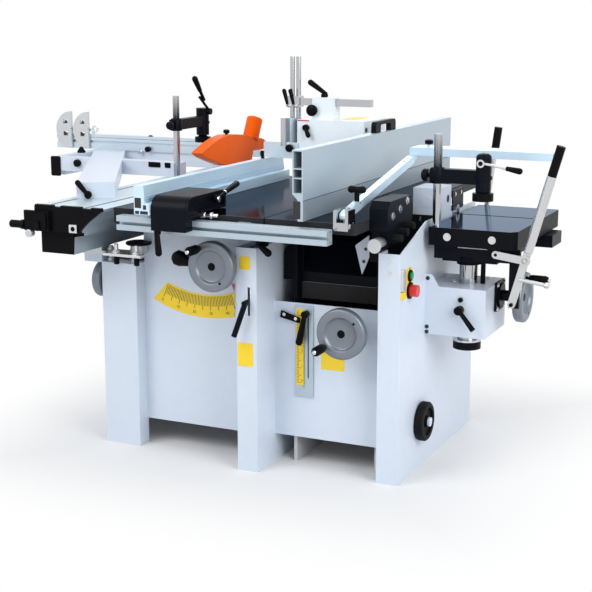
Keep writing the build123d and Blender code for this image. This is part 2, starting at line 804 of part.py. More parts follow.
def right_side():
    slope = [(FRONT, 0), (BACK, 0), (BACK, PLANER_BOTTOM), (SLOPE_END_Y, PLANER_BOTTOM),
             (FRONT, RIGHT_LEG_TOP)]
    wall = prism_x(slope, RIGHT - SHEET, RIGHT)
    wall += block(RIGHT_LEG_X, RIGHT, FRONT, FRONT + SHEET, 0, RIGHT_LEG_TOP)
    wall += block(RIGHT_LEG_X, RIGHT_LEG_X + SHEET, FRONT, PLANER_PANEL_Y + SHEET, 0, RIGHT_LEG_TOP)
    room = CHUCK_R + CUTTER_ROOM
    wall -= block(RIGHT - 2 * SHEET, RIGHT + SHEET, CUTTER_Y - room, CUTTER_Y + room, CUTTER_Z - room,
                  TABLE_Z)
    for z in (START_Z, STOP_Z):
        wall -= rod_x(RIGHT - 2 * SHEET, RIGHT + SHEET, BUTTON_Y, z, SHANK_R + SHAFT_GAP)
    axle = rod_x(RIGHT - SHEET, RIGHT + ROLL_T + FACE_GAP * 2, ROLL_Y, ROLL_Z, ROLL_AXLE_R)
    nut = rod_x(RIGHT + ROLL_T + FACE_GAP * 2, RIGHT + ROLL_T + SHEET * 2, ROLL_Y, ROLL_Z, ROLL_NUT_R)
    return wall + foot_plates(RIGHT, 1) + axle + nut


def back_panel():
    panel = block(LEFT + SHEET, RIGHT - SHEET, BACK - SHEET, BACK, BACK_Z, LEFT_LEG_TOP)
    panel += block(LEG_X1, RIGHT - SHEET, BACK - SHEET, BACK, LEFT_LEG_TOP, SAW_BOTTOM)
    panel -= block(LEG_X1 - 1, KNIFE_GATE_X1, BACK - 2 * SHEET, BACK + SHEET, KNIFE_GATE_Z, SAW_BOTTOM + 1)
    for bay in (LEG_X1 + VENT_W, RIGHT_LEG_X - VENT_W):
        for row in range(VENT_ROWS):
            z = VENT_Z + row * VENT_PITCH
            panel -= block(bay - VENT_W / 2, bay + VENT_W / 2, BACK - 2 * SHEET, BACK + SHEET, z,
                           z + VENT_H)
    return panel


def sheet_panels():
    """The two front panels, the back panel and the thickness scale screwed to the planer's panel."""
    saw = block(LEG_X1, MID_LEG_X, SAW_PANEL_Y, SAW_PANEL_Y + SHEET, SAW_PANEL_Z, SAW_BOTTOM)
    saw += block(LEG_X1, MID_LEG_X, SAW_PANEL_Y, SAW_PANEL_Y + PANEL_LIP, SAW_PANEL_Z, SAW_PANEL_Z + SHEET)
    saw -= rod_y(SAW_WHEEL_X, SAW_PANEL_Y - SHEET, SAW_PANEL_Y + 2 * SHEET, SAW_WHEEL_Z,
                 WHEEL_SHAFT_R + SHAFT_GAP)
    planer = block(MID_LEG_X1, RIGHT_LEG_X, PLANER_PANEL_Y, PLANER_PANEL_Y + SHEET, PLANER_PANEL_Z,
                   PLANER_PANEL_TOP)
    planer += block(MID_LEG_X1, RIGHT_LEG_X, PLANER_PANEL_Y, PLANER_PANEL_Y + PANEL_LIP, PLANER_PANEL_Z,
                    PLANER_PANEL_Z + SHEET)
    planer -= rod_y(PLANER_WHEEL_X, PLANER_PANEL_Y - SHEET, PLANER_PANEL_Y + 2 * SHEET, PLANER_WHEEL_Z,
                    WHEEL_SHAFT_R + SHAFT_GAP)
    return Compound(children=[saw, planer, back_panel(), thickness_scale()])


def trunnion_plate(y0, y1, groove_y0, groove_y1):
    """A fixed plate under the table whose curved groove carries the tilting cradle."""
    x0 = BLADE_X + SECTOR_R0 * cos(radians(SECTOR_A0))
    x1 = BLADE_X + SECTOR_R1 + SKIRT_T
    plate = block(x0, x1, y0, y1, TABLE_Z - SECTOR_R1 - SKIRT_T, SAW_CEILING)
    groove = sector(BLADE_X, TABLE_Z, TONGUE_R0 - SLIDE_GAP, TONGUE_R1 + SLIDE_GAP, SECTOR_A0 - TILT_MAX,
                    SECTOR_A1 + GROOVE_OVER, groove_y0, groove_y1)
    return plate - groove


def spindle_housing():
    """The cup and tube cast under the table round the moulder spindle."""
    tube = rod_z(SPINDLE_X, SPINDLE_Y, HOUSING_Z0, CUP_Z0, HOUSING_R)
    tube += rod_z(SPINDLE_X, SPINDLE_Y, CUP_Z0, SAW_CEILING, SPINDLE_HOLE_R + CUP_WALL)
    tube += rod_z(SPINDLE_X, SPINDLE_Y, SAW_CEILING - HOUSING_FLANGE_T, SAW_CEILING, HOUSING_FLANGE_R)
    tube -= rod_z(SPINDLE_X, SPINDLE_Y, CUP_Z0 + CUP_FLOOR_T, SAW_CEILING + 1, SPINDLE_HOLE_R)
    return tube - rod_z(SPINDLE_X, SPINDLE_Y, HOUSING_Z0 - 1, SAW_CEILING + 1, QUILL_R + SHAFT_GAP)


def saw_table():
    top = block(SAW_X0, SAW_X1, TABLE_Y0, SAW_Y1, SAW_BOTTOM, TABLE_Z)
    pocket = block(SAW_X0 + SKIRT_T, SAW_X1 - SKIRT_T, TABLE_Y0 + SKIRT_T, SAW_Y1 - SKIRT_T, SAW_BOTTOM - 1,
                   SAW_CEILING)
    pocket -= block(SAW_X0, SAW_X1, RIB_Y, RIB_Y + SKIRT_T, SAW_BOTTOM - 1, TABLE_Z)
    pocket -= block(RIB_X, RIB_X + SKIRT_T, TABLE_Y0, SAW_Y1, SAW_BOTTOM - 1, TABLE_Z)
    top -= pocket
    top -= block(SAW_X0 - 1, SAW_X0 + NOTCH_W, NOTCH_Y0, SAW_Y1 + 1, SAW_BOTTOM - 1, TABLE_Z + 1)
    top -= rod_z(SPINDLE_X, SPINDLE_Y, SAW_BOTTOM, TABLE_Z + 1, SPINDLE_HOLE_R)
    front = SECTOR_Y_FRONT - SLIDE_GAP
    rear = SECTOR_Y_REAR + SECTOR_T + SLIDE_GAP
    top += trunnion_plate(front - SECTOR_T, front, front - TONGUE_H, front)
    top += trunnion_plate(rear, rear + SECTOR_T, rear, rear + TONGUE_H)
    return top + spindle_housing()


def rip_rail():
    rail = block(RAIL_X0, RAIL_X1, RAIL_Y0, RAIL_Y1, RAIL_Z0, RAIL_Z1)
    mid_y = (RAIL_Y0 + RAIL_Y1) / 2
    mid_z = (RAIL_Z0 + RAIL_Z1) / 2
    half = RAIL_SLOT / 2
    rail -= block(RAIL_X0, RAIL_X1, RAIL_Y0 - 1, RAIL_Y0 + RAIL_WALL, mid_z - half, mid_z + half)
    rail -= block(RAIL_X0, RAIL_X1, RAIL_Y0 + RAIL_WALL, mid_y, mid_z - 2 * half, mid_z + 2 * half)
    for side in (RAIL_Z0 + RAIL_WALL, mid_z + 2 * half + RAIL_WALL):
        top = side + (mid_z - 2 * half - RAIL_WALL - RAIL_Z0 - RAIL_WALL)
        rail -= block(RAIL_X0, RAIL_X1, mid_y + RAIL_WALL / 2, RAIL_Y1 - RAIL_WALL, side, top)
    third = (RAIL_X1 - RAIL_X0) / 4
    for k in range(3):
        x = SAW_X0 + third * (k + 0.5)
        rail += block(x, x + RAIL_FOOT_W, RAIL_Y1, TABLE_Y0, SAW_BOTTOM, RAIL_Z1)
    return rail


def rip_carrier():
    x0 = FENCE_X0 + FENCE_W
    z0 = RAIL_Z1 + SLIDE_GAP
    z1 = TABLE_Z + CARRIER_H
    jaw_y = RAIL_Y0 - SLIDE_GAP
    under = TABLE_Z + CARRIER_LIFT
    points = [(CARRIER_Y0, RAIL_Z0), (jaw_y, RAIL_Z0), (jaw_y, z0), (TABLE_Y0 - CARRIER_LIFT * 2, z0),
              (TABLE_Y0 - CARRIER_LIFT * 2, under), (CARRIER_Y1, under),
              (CARRIER_Y1, z1 - CARRIER_ROUND), (CARRIER_Y1 - CARRIER_ROUND, z1),
              (CARRIER_Y0 + CARRIER_ROUND, z1), (CARRIER_Y0, z1 - CARRIER_ROUND)]
    body = prism_x(points, x0, x0 + CARRIER_W)
    pin = rod_x(x0 + CARRIER_W, x0 + CARRIER_W + LOCK_T + FACE_GAP, CARRIER_Y1 - LOCK_BACK,
                z1 - CARRIER_ROUND, LOCK_R / 2)
    return body + pin


def rip_fence():
    x1 = FENCE_X0 + FENCE_W
    z1 = FENCE_Z0 + FENCE_H
    shelf = FENCE_Z0 + FENCE_SHELF_H
    wall = FENCE_WALL
    outline = [(FENCE_X0, FENCE_Z0), (x1, FENCE_Z0), (x1, shelf),
               (FENCE_X0 + FENCE_W * FENCE_ROOT, shelf + wall),
               (FENCE_X0 + FENCE_W * FENCE_NECK, z1), (FENCE_X0, z1)]
    body = prism_y(outline, FENCE_Y0, FENCE_Y1)
    low = block(FENCE_X0 + wall, x1 - wall, FENCE_Y0 - 1, FENCE_Y1 + 1, FENCE_Z0 + wall, shelf - wall)
    high = block(FENCE_X0 + wall, FENCE_X0 + FENCE_W * FENCE_NECK - wall, FENCE_Y0 - 1, FENCE_Y1 + 1,
                 shelf + wall, z1 - wall)
    return body - low - high


def rip_lock_lever():
    x0 = FENCE_X0 + FENCE_W + CARRIER_W + FACE_GAP
    y = CARRIER_Y1 - LOCK_BACK
    z = TABLE_Z + CARRIER_H - CARRIER_ROUND
    hub = rod_x(x0, x0 + LOCK_T, y, z, LOCK_R)
    hub -= rod_x(x0 - 1, x0 + LOCK_T + 1, y, z, LOCK_R / 2 + SHAFT_GAP)
    root = (LOCK_R + LOCK_R / 2) / 2
    start = (x0 + LOCK_T / 2, y + root, z + root * LOCK_RISE / LOCK_LEN)
    tip = (x0 + LOCK_T / 2, y + LOCK_LEN, z + LOCK_RISE)
    return hub + bar_between(start, tip, LOCK_BAR_R)


def cradle_end(y0, tongue_y0, tongue_y1, lug_y0, lug_y1, bar_y):
    """One end of the tilting cradle: ring sector, arm, and the lugs that hold a guide bar."""
    y1 = y0 + SECTOR_T
    plate = sector(BLADE_X, TABLE_Z, SECTOR_R0, SECTOR_R1, SECTOR_A0, SECTOR_A1, y0, y1)
    plate += sector(BLADE_X, TABLE_Z, TONGUE_R0, TONGUE_R1, SECTOR_A0, SECTOR_A1, tongue_y0, tongue_y1)
    arm_x = GUIDE_X - ARM_W / 2
    plate += block(arm_x, GUIDE_X + ARM_W / 2, y0, y1, GUIDE_Z0, GUIDE_Z1)
    plate += block(GUIDE_X, TIE_X + TIE_R, y0, y1, TIE_Z - TIE_R, GUIDE_Z1)
    for z0 in (GUIDE_Z0, GUIDE_Z1 - GUIDE_LUG):
        plate += block(GUIDE_X - GUIDE_LUG_R, GUIDE_X + GUIDE_LUG_R, lug_y0, lug_y1, z0, z0 + GUIDE_LUG)
    return plate + rod_z(GUIDE_X, bar_y, GUIDE_Z0, GUIDE_Z1, GUIDE_R)


def saw_trunnion():
    front_y1 = SECTOR_Y_FRONT + SECTOR_T
    rear_y1 = SECTOR_Y_REAR + SECTOR_T
    front = cradle_end(SECTOR_Y_FRONT, SECTOR_Y_FRONT - TONGUE_H, SECTOR_Y_FRONT, front_y1,
                       GUIDE_Y_FRONT + GUIDE_LUG_R, GUIDE_Y_FRONT)
    rear = cradle_end(SECTOR_Y_REAR, rear_y1, rear_y1 + TONGUE_H, GUIDE_Y_REAR - GUIDE_LUG_R, SECTOR_Y_REAR,
                      GUIDE_Y_REAR)
    return front + rear + rod_y(TIE_X, front_y1, SECTOR_Y_REAR, TIE_Z, TIE_R)


def arbor_carriage():
    """The web that carries arbor, motor and knife, dipping under the rear trunnion plate."""
    strap_y0 = SECTOR_Y_REAR - STRAP_ROOM
    strap_y1 = SECTOR_Y_REAR + 2 * SECTOR_T + STRAP_ROOM
    outline = [(WEB_Y0, BOSS_Z0), (MOTOR_Y - MOTOR_R, WEB_Z0), (MOTOR_Y + MOTOR_R, WEB_Z0),
               (strap_y0, STRAP_Z0), (WEB_Y1, STRAP_Z0), (WEB_Y1, WEB_Z1), (strap_y1, WEB_Z1),
               (strap_y1, WEB_STEP_Z), (strap_y0, WEB_STEP_Z), (strap_y0, WEB_Z1), (WEB_Y0, WEB_Z1)]
    web = prism_x(outline, WEB_X, WEB_X + WEB_T)
    web += rod_x(WEB_X, ARBOR_HUB_X1, BLADE_Y, BLADE_Z, ARBOR_HUB_R)
    for y in (GUIDE_Y_FRONT, GUIDE_Y_REAR):
        web += block(WEB_X + WEB_T, GUIDE_X + BOSS_SIDE / 2, y - BOSS_SIDE / 2, y + BOSS_SIDE / 2, BOSS_Z0,
                     BOSS_Z0 + BOSS_H)
        web -= rod_z(GUIDE_X, y, BOSS_Z0 - 1, BOSS_Z0 + BOSS_H + 1, GUIDE_R + SHAFT_GAP)
    web -= rod_x(WEB_X - 1, ARBOR_HUB_X1 + 1, BLADE_Y, BLADE_Z, ARBOR_R + SHAFT_GAP)
    web -= rod_x(WEB_X - 1, WEB_X + WEB_T + 1, MOTOR_Y, MOTOR_Z, MOTOR_SHAFT_R + SHAFT_GAP)
    knife_face = BLADE_X + KNIFE_T / 2
    web += block(knife_face, WEB_X, HOLDER_Y0, WEB_Y1, WEB_STEP_Z, WEB_STEP_Z + HOLDER_H)
    return web


def saw_motor():
    barrel = motor(MOTOR_LEN, MOTOR_R, MOTOR_BOSS_R, MOTOR_BOSS_LEN)
    body = Pos(WEB_X + WEB_T, MOTOR_Y, MOTOR_Z) * Rot(0, 90, 0) * barrel
    body += rod_x(PULLEY_X, WEB_X + WEB_T, MOTOR_Y, MOTOR_Z, MOTOR_SHAFT_R)
    return body + rod_x(PULLEY_X, PULLEY_X + PULLEY_W, MOTOR_Y, MOTOR_Z, MOTOR_PULLEY_R)


def saw_belt():
    """A flat belt round the motor pulley and the arbor pulley, in a plane across X."""
    dy = BLADE_Y - MOTOR_Y
    dz = BLADE_Z - MOTOR_Z
    span = sqrt(dy * dy + dz * dz)
    way = atan2(dz, dy)
    r_big = MOTOR_PULLEY_R + SHAFT_GAP
    r_small = PULLEY_R + SHAFT_GAP
    swing = atan2(sqrt(span ** 2 - (r_big - r_small) ** 2), r_big - r_small)

    def loop(extra):
        big = r_big + extra
        small = r_small + extra
        pts = [(MOTOR_Y + big * cos(way + s * swing), MOTOR_Z + big * sin(way + s * swing))
               for s in (1, -1)]
        ends = [(BLADE_Y + small * cos(way + s * swing),
                 BLADE_Z + small * sin(way + s * swing))
                for s in (1, -1)]
        back = (MOTOR_Y - big * cos(way), MOTOR_Z - big * sin(way))
        nose = (BLADE_Y + small * cos(way), BLADE_Z + small * sin(way))
        edges = [Line(pts[0], ends[0]), ThreePointArc(ends[0], nose, ends[1]), Line(ends[1], pts[1]),
                 ThreePointArc(pts[1], back, pts[0])]
        return make_face(edges)

    plane = Plane((PULLEY_X + PULLEY_W / 4, 0, 0), x_dir=(0, 1, 0), z_dir=(1, 0, 0))
    return extrude(plane * (loop(BELT_T) - loop(0)), PULLEY_W / 2)


def riving_knife():
    x0 = BLADE_X - KNIFE_T / 2
    low = block(x0, x0 + KNIFE_T, HOLDER_Y0, KNIFE_Y1, KNIFE_Z0, WEB_STEP_Z + HOLDER_H)
    outline = [(KNIFE_Y0, WEB_STEP_Z + HOLDER_H), (KNIFE_Y1, WEB_STEP_Z + HOLDER_H),
               (KNIFE_Y1 + GUARD_HALF / 2, KNIFE_Z1), (KNIFE_Y0 - GUARD_HALF / 2, KNIFE_Z1)]
    knife = low + prism_x(outline, x0, x0 + KNIFE_T)
    return knife - rod_x(x0 - 1, x0 + KNIFE_T + 1, KNIFE_PIN_Y, KNIFE_PIN_Z, KNIFE_PIN_R + SHAFT_GAP)


def guard_plan(inset):
    """The guard seen from above: thin at nose and tail, full between the ends of its ridge."""
    half = GUARD_HALF - inset
    tip = GUARD_TIP_HALF - inset
    return [(BLADE_X - tip, GUARD_Y0), (BLADE_X + tip, GUARD_Y0), (BLADE_X + half, GUARD_RIDGE_Y0),
            (BLADE_X + half, GUARD_RIDGE_Y1), (BLADE_X + tip, GUARD_Y1), (BLADE_X - tip, GUARD_Y1),
            (BLADE_X - half, GUARD_RIDGE_Y1), (BLADE_X - half, GUARD_RIDGE_Y0)]


def blade_guard():
    """A hollow crowned guard, deep in the middle, hung on the knife, with a leaning dust outlet."""
    side = [(GUARD_Y0, GUARD_NOSE_Z0), (GUARD_BELLY_Y0, GUARD_Z0), (GUARD_BELLY_Y1, GUARD_Z0),
            (GUARD_Y1, GUARD_TAIL_Z0), (GUARD_Y1, GUARD_TAIL_Z1), (GUARD_RIDGE_Y1, GUARD_REAR_Z),
            (GUARD_RIDGE_Y0, GUARD_RIDGE_Z), (GUARD_Y0, GUARD_NOSE_Z1)]
    shoulder = GUARD_RIDGE_Z - GUARD_HALF
    section = [(BLADE_X - GUARD_HALF, GUARD_Z0), (BLADE_X + GUARD_HALF, GUARD_Z0),
               (BLADE_X + GUARD_HALF, shoulder), (BLADE_X + GUARD_CROWN, GUARD_RIDGE_Z),
               (BLADE_X - GUARD_CROWN, GUARD_RIDGE_Z), (BLADE_X - GUARD_HALF, shoulder)]
    body = prism_x(side, BLADE_X - GUARD_HALF, BLADE_X + GUARD_HALF)
    body &= prism_z(guard_plan(0), GUARD_Z0, GUARD_RIDGE_Z)
    body &= prism_y(section, GUARD_Y0, GUARD_Y1)
    ceiling = GUARD_REAR_Z - 3 * GUARD_WALL
    room = [(GUARD_ROOM_Y0, GUARD_Z0 - 1), (GUARD_ROOM_Y1, GUARD_Z0 - 1), (GUARD_ROOM_Y1, GUARD_TAIL_Z1),
            (GUARD_RIDGE_Y1, ceiling), (GUARD_RIDGE_Y0, ceiling), (GUARD_ROOM_Y0, GUARD_NOSE_Z1)]
    hollow = prism_x(room, BLADE_X - GUARD_HALF, BLADE_X + GUARD_HALF)
    body -= hollow & prism_z(guard_plan(GUARD_WALL), GUARD_Z0 - 1, GUARD_RIDGE_Z)
    pin = GUARD_HALF - GUARD_WALL / 2
    body += rod_x(BLADE_X - pin, BLADE_X + pin, KNIFE_PIN_Y, KNIFE_PIN_Z, KNIFE_PIN_R)
    foot = Vector(BLADE_X, DUST_Y, GUARD_RIDGE_Z - GUARD_HALF * 2)
    way = Vector(0, sin(radians(DUST_LEAN)), cos(radians(DUST_LEAN)))
    body += bar_between(foot, foot + way * DUST_LEN, DUST_R)
    bore_end = foot + way * (DUST_LEN + DUST_WALL)
    return body - bar_between(foot + way * (DUST_LEN / 2), bore_end, DUST_R - DUST_WALL)


def saw_blade():
    """A toothed disc: each tooth has a steep face and a sloping back."""
    points = []
    step = 360 / BLADE_TEETH
    for k in range(BLADE_TEETH):
        a = radians(k * step)
        b = radians(k * step + step * TOOTH_FACE)
        points.append((BLADE_R * cos(a), BLADE_R * sin(a)))
        points.append(((BLADE_R - TOOTH_DEPTH) * cos(b), (BLADE_R - TOOTH_DEPTH) * sin(b)))
    disc = prism_x(points, BLADE_X - BLADE_T / 2, BLADE_X + BLADE_T / 2)
    disc -= rod_x(BLADE_X - BLADE_T, BLADE_X + BLADE_T, 0, 0, BLADE_BORE_R)
    return Pos(0, BLADE_Y, BLADE_Z) * disc


def saw_arbor():
    x_left = BLADE_X - BLADE_T / 2
    x_right = BLADE_X + BLADE_T / 2
    shaft = rod_x(x_left - FLANGE_T, ARBOR_HUB_X1, BLADE_Y, BLADE_Z, ARBOR_R)
    shaft += rod_x(x_left - FLANGE_T, x_left, BLADE_Y, BLADE_Z, FLANGE_R)
    shaft += rod_x(x_left - FLANGE_T - NUT_T, x_left - FLANGE_T, BLADE_Y, BLADE_Z, NUT_R)
    shaft += rod_x(x_right, PULLEY_X, BLADE_Y, BLADE_Z, FLANGE_R)
    shaft += rod_x(PULLEY_X, PULLEY_X + PULLEY_W, BLADE_Y, BLADE_Z, PULLEY_R)
    return shaft


def saw_handwheel():
    wheel = handwheel(WHEEL_R, SAW_SHAFT_END - SAW_WHEEL_Y)
    wheel = Rot(90, 0, 0) * Rot(0, 0, SAW_WHEEL_TURN) * wheel
    return Pos(SAW_WHEEL_X, SAW_WHEEL_Y, SAW_WHEEL_Z) * wheel


def table_profile():
    """The table extrusion: T-slots, hollow cells and a scooped flank beside the blade."""
    tip_z = TABLE_Z - SLIDE_TIP
    flank_w = SLIDE_X1 - FLANK_X
    flank_h = tip_z - FLANK_Z
    body = block(SLIDE_X0, SLIDE_X1, SLIDE_Y0, SLIDE_Y1, SLIDE_Z0, TABLE_Z)
    scoop = Ellipse(flank_w, flank_h)
    plane = Plane((SLIDE_X1, SLIDE_Y1 + 1, FLANK_Z), x_dir=(1, 0, 0), z_dir=(0, -1, 0))
    body -= extrude(plane * scoop, SLIDE_Y1 - SLIDE_Y0 + 2)
    body -= block(FLANK_X, SLIDE_X1 + 1, SLIDE_Y0 - 1, SLIDE_Y1 + 1, SLIDE_Z0 - 1, FLANK_Z)
    cell_z0 = SLIDE_Z0 + SLIDE_WALL
    cell_z1 = TABLE_Z - SLOT_D - SLOT_UNDER_H - SLIDE_WALL
    cells = 3
    cell_w = (FLANK_X - SLIDE_X0 - SLIDE_WALL) / cells
    for k in range(cells):
        x = SLIDE_X0 + SLIDE_WALL + k * cell_w
        body -= block(x, x + cell_w - SLIDE_WALL, SLIDE_Y0 - 1, SLIDE_Y1 + 1, cell_z0, cell_z1)
    for x in SLOT_X:
        body -= block(x - SLOT_W / 2, x + SLOT_W / 2, SLIDE_Y0 - 1, SLIDE_Y1 + 1, TABLE_Z - SLOT_D,
                      TABLE_Z + 1)
        body -= block(x - SLOT_UNDER_W / 2, x + SLOT_UNDER_W / 2, SLIDE_Y0 - 1, SLIDE_Y1 + 1,
                      TABLE_Z - SLOT_D, TABLE_Z - SLOT_D + SLOT_UNDER_H)
    return body


def slide_beam():
    top = SLIDE_Z0 - SLIDE_GAP
    outline = [(BEAM_X0, BEAM_Z0), (BEAM_X1, BEAM_Z0), (BEAM_X1, BEAM_LEDGE_Z),
               (BEAM_LEDGE_X, BEAM_LEDGE_Z + BEAM_WALL), (BEAM_LEDGE_X, top), (BEAM_X0, top)]
    beam = prism_y(outline, SLIDE_Y0 + BEAM_IN, SLIDE_Y1 - BEAM_IN)
    mid = (BEAM_X0 + BEAM_X1) / 2
    for x0, x1 in ((BEAM_X0 + BEAM_WALL, mid - BEAM_WALL / 2), (mid + BEAM_WALL / 2, BEAM_X1 - BEAM_WALL)):
        beam -= block(x0, x1, SLIDE_Y0, SLIDE_Y1, BEAM_Z0 + BEAM_WALL, top - BEAM_WALL)
    end_y = SLIDE_Y0 + BEAM_IN
    return beam + block(BEAM_X0, BEAM_X1, end_y - BEAM_CAP_T, end_y, BEAM_Z0, top)


def beam_brackets():
    """Two cranked struts from the cabinet leg out under the beam, on levelling bolts."""
    pieces = []
    for y0 in (FRONT + STRUT_END_IN, BACK - LEG_SHELF_D - SHEET + STRUT_END_IN):
        y1 = y0 + STRUT_D
        strut = block(BEAM_X0, STRUT_X1, y0, y1, STRUT_Z0, STRUT_Z0 + STRUT_T)
        strut += block(BEAM_X0, LEFT, y0, y1, STRUT_Z0 + STRUT_T, BEAM_Z0)
        for x in [LEFT + inward for inward in LEVEL_BOLT_IN]:
            y = (y0 + y1) / 2
            strut += rod_z(x, y, LEFT_LEG_TOP, BEAM_Z0, LEVEL_BOLT_R)
            strut += rod_z(x, y, STRUT_Z0 + STRUT_T, STRUT_Z0 + STRUT_T + LEVEL_NUT_H, NUT_SIDE_R)
            strut += rod_z(x, y, LEFT_LEG_TOP, LEFT_LEG_TOP + LEVEL_NUT_H, NUT_SIDE_R)
        pieces.append(strut)
    return Compound(children=pieces)


def table_end_cover():
    face_y = SLIDE_Y0 - CAP_T
    cover = block(SLIDE_X0, FLANK_X, face_y, SLIDE_Y0, SLIDE_Z0, TABLE_Z)
    cover += block(LOCK_BOX_X0, LOCK_BOX_X1, face_y - LOCK_BOX_D, face_y, SLIDE_Z0 + LOCK_BOX_LIFT,
                   LOCK_BOX_TOP)
    neck = rod_x(CAP_KNOB_X, SLIDE_X0, SLIDE_Y0 - CAP_T / 2, CAP_KNOB_Z, CAP_KNOB_R / 3)
    grip = rod_x(CAP_KNOB_X - CAP_KNOB_LEN, CAP_KNOB_X, SLIDE_Y0 - CAP_T / 2, CAP_KNOB_Z, CAP_KNOB_R)
    grip = chamfer(grip.edges().filter_by(GeomType.CIRCLE), CAP_KNOB_R / 3)
    return cover + neck + grip


def sliding_table():
    return Compound(children=[table_profile(), table_end_cover()])


def crosscut_frame():
    z0 = TABLE_Z
    z1 = z0 + FRAME_H
    outer_mid = OUTER_X0 + OUTER_W / 2
    length = sqrt((ARM_BASE_X - outer_mid) ** 2 + (OUTER_Y1 - OUTER_W - ARM_BASE_Y) ** 2)
    ux = (outer_mid - ARM_BASE_X) / length
    uy = (OUTER_Y1 - OUTER_W - ARM_BASE_Y) / length
    half = ARM_WIDE / 2
    arm = prism_z([(ARM_BASE_X - uy * half, ARM_BASE_Y + ux * half),
                   (ARM_BASE_X + uy * half, ARM_BASE_Y - ux * half),
                   (outer_mid + uy * half, OUTER_Y1 - OUTER_W - ux * half),
                   (outer_mid - uy * half, OUTER_Y1 - OUTER_W + ux * half)], z0, z1)
    arm -= block(OUTER_X0 - ARM_WIDE, OUTER_X0, OUTER_Y0, OUTER_Y1, z0 - 1, z1 + 1)
    outer = block(OUTER_X0, OUTER_X0 + OUTER_W, OUTER_Y0, OUTER_Y1, OUTER_Z0, z1)
    cross = block(outer_mid, CROSS_X1, CROSS_Y, CROSS_Y + CROSS_W, z0, z1)
    rear = block(outer_mid, CROSS_X1, REAR_Y0, REAR_Y0 + CROSS_W, z0, z1)
    return arm + outer + cross + rear


def crosscut_fence():
    z0 = TABLE_Z + FRAME_H
    z1 = z0 + CUT_FENCE_H
    y1 = CUT_FENCE_Y0 + CUT_FENCE_D
    body = block(CUT_FENCE_X0, CUT_FENCE_X1, CUT_FENCE_Y0, y1, z0, z1)
    mid = (z0 + z1) / 2
    body -= block(CUT_FENCE_X0 - 1, CUT_FENCE_X1 + 1, CUT_FENCE_Y0 - 1, CUT_FENCE_Y0 + CUT_SLOT_D,
                  mid - CUT_SLOT_W / 2, mid + CUT_SLOT_W / 2)
    cell_h = CUT_FENCE_H / 2 - CUT_SLOT_W / 2 - 2 * FENCE_WALL
    for z in (z0 + FENCE_WALL, mid + CUT_SLOT_W / 2 + FENCE_WALL):
        body -= block(CUT_FENCE_X0 - 1, CUT_FENCE_X1 + 1, CUT_FENCE_Y0 + CUT_SLOT_D + FENCE_WALL,
                      y1 - FENCE_WALL, z, z + cell_h)
    rod_x0 = STOP_X[0] - STOP_R
    body += rod_x(rod_x0, STOP_X[1] + 2 * STOP_POST_W, STOP_AXIS_Y, STOP_AXIS_Z, STOP_PIN_R)
    for x in (rod_x0, STOP_X[0] + STOP_POST_W, STOP_X[1] + STOP_POST_W):
        body += block(x, x + STOP_POST_W, STOP_AXIS_Y - STOP_PIN_R, STOP_AXIS_Y + STOP_PIN_R, z1,
                      STOP_AXIS_Z)
    return body


def flip_stop(x):
    """A half-round stop with two windows, in front of the fence, its hub on the rod over the fence."""
    y1 = CUT_FENCE_Y0 - STOP_FACE_GAP
    y0 = y1 - STOP_T
    stop = sector(x, STOP_AXIS_Z, STOP_PIN_R, STOP_R, STOP_A0, STOP_A1, y0, y1)
    for dz in STOP_WINDOW_DZ:
        z = STOP_AXIS_Z + dz
        stop -= block(x - STOP_WINDOW_X - STOP_WINDOW_W, x - STOP_WINDOW_X, y0 - 1, y1 + 1, z,
                      z + STOP_WINDOW_H)
    hub_x1 = x - STOP_HUB_IN
    hub_x0 = hub_x1 - STOP_HUB_LEN
    stop += rod_x(hub_x0, hub_x1, STOP_AXIS_Y, STOP_AXIS_Z, STOP_HUB_R)
    return stop - rod_x(hub_x0 - 1, hub_x1 + 1, STOP_AXIS_Y, STOP_AXIS_Z, STOP_PIN_R + SHAFT_GAP)


def clamp_post():
    post = rod_z(POST_X, POST_Y, TABLE_Z, POST_TOP, POST_R)
    post += rod_z(POST_X, POST_Y, TABLE_Z, TABLE_Z + POST_FOOT_H, POST_FOOT_R)
    y1 = POST_Y + CLAMP_ARM_LEN
    arm = block(POST_X - CLAMP_ARM_W / 2, POST_X + CLAMP_ARM_W / 2, POST_Y - POST_FOOT_R, y1, CLAMP_ARM_Z,
                CLAMP_ARM_Z + CLAMP_ARM_H)
    head_z0 = CLAMP_ARM_Z - CLAMP_HEAD_H / 3
    head = rod_z(POST_X, y1, head_z0, head_z0 + CLAMP_HEAD_H, CLAMP_HEAD_R)
    head += rod_z(POST_X, y1, CLAMP_PAD_Z, head_z0, CLAMP_ROD_R)
    head += rod_z(POST_X, y1, CLAMP_PAD_Z, CLAMP_PAD_Z + CLAMP_PAD_H, CLAMP_PAD_R)
    pin_z = head_z0 + CLAMP_HEAD_H - CLAMP_PIN_R * 2
    head += rod_x(POST_X, POST_X + CLAMP_HEAD_R + LOCK_T + FACE_GAP, y1, pin_z, CLAMP_PIN_R)
    return post + arm + head


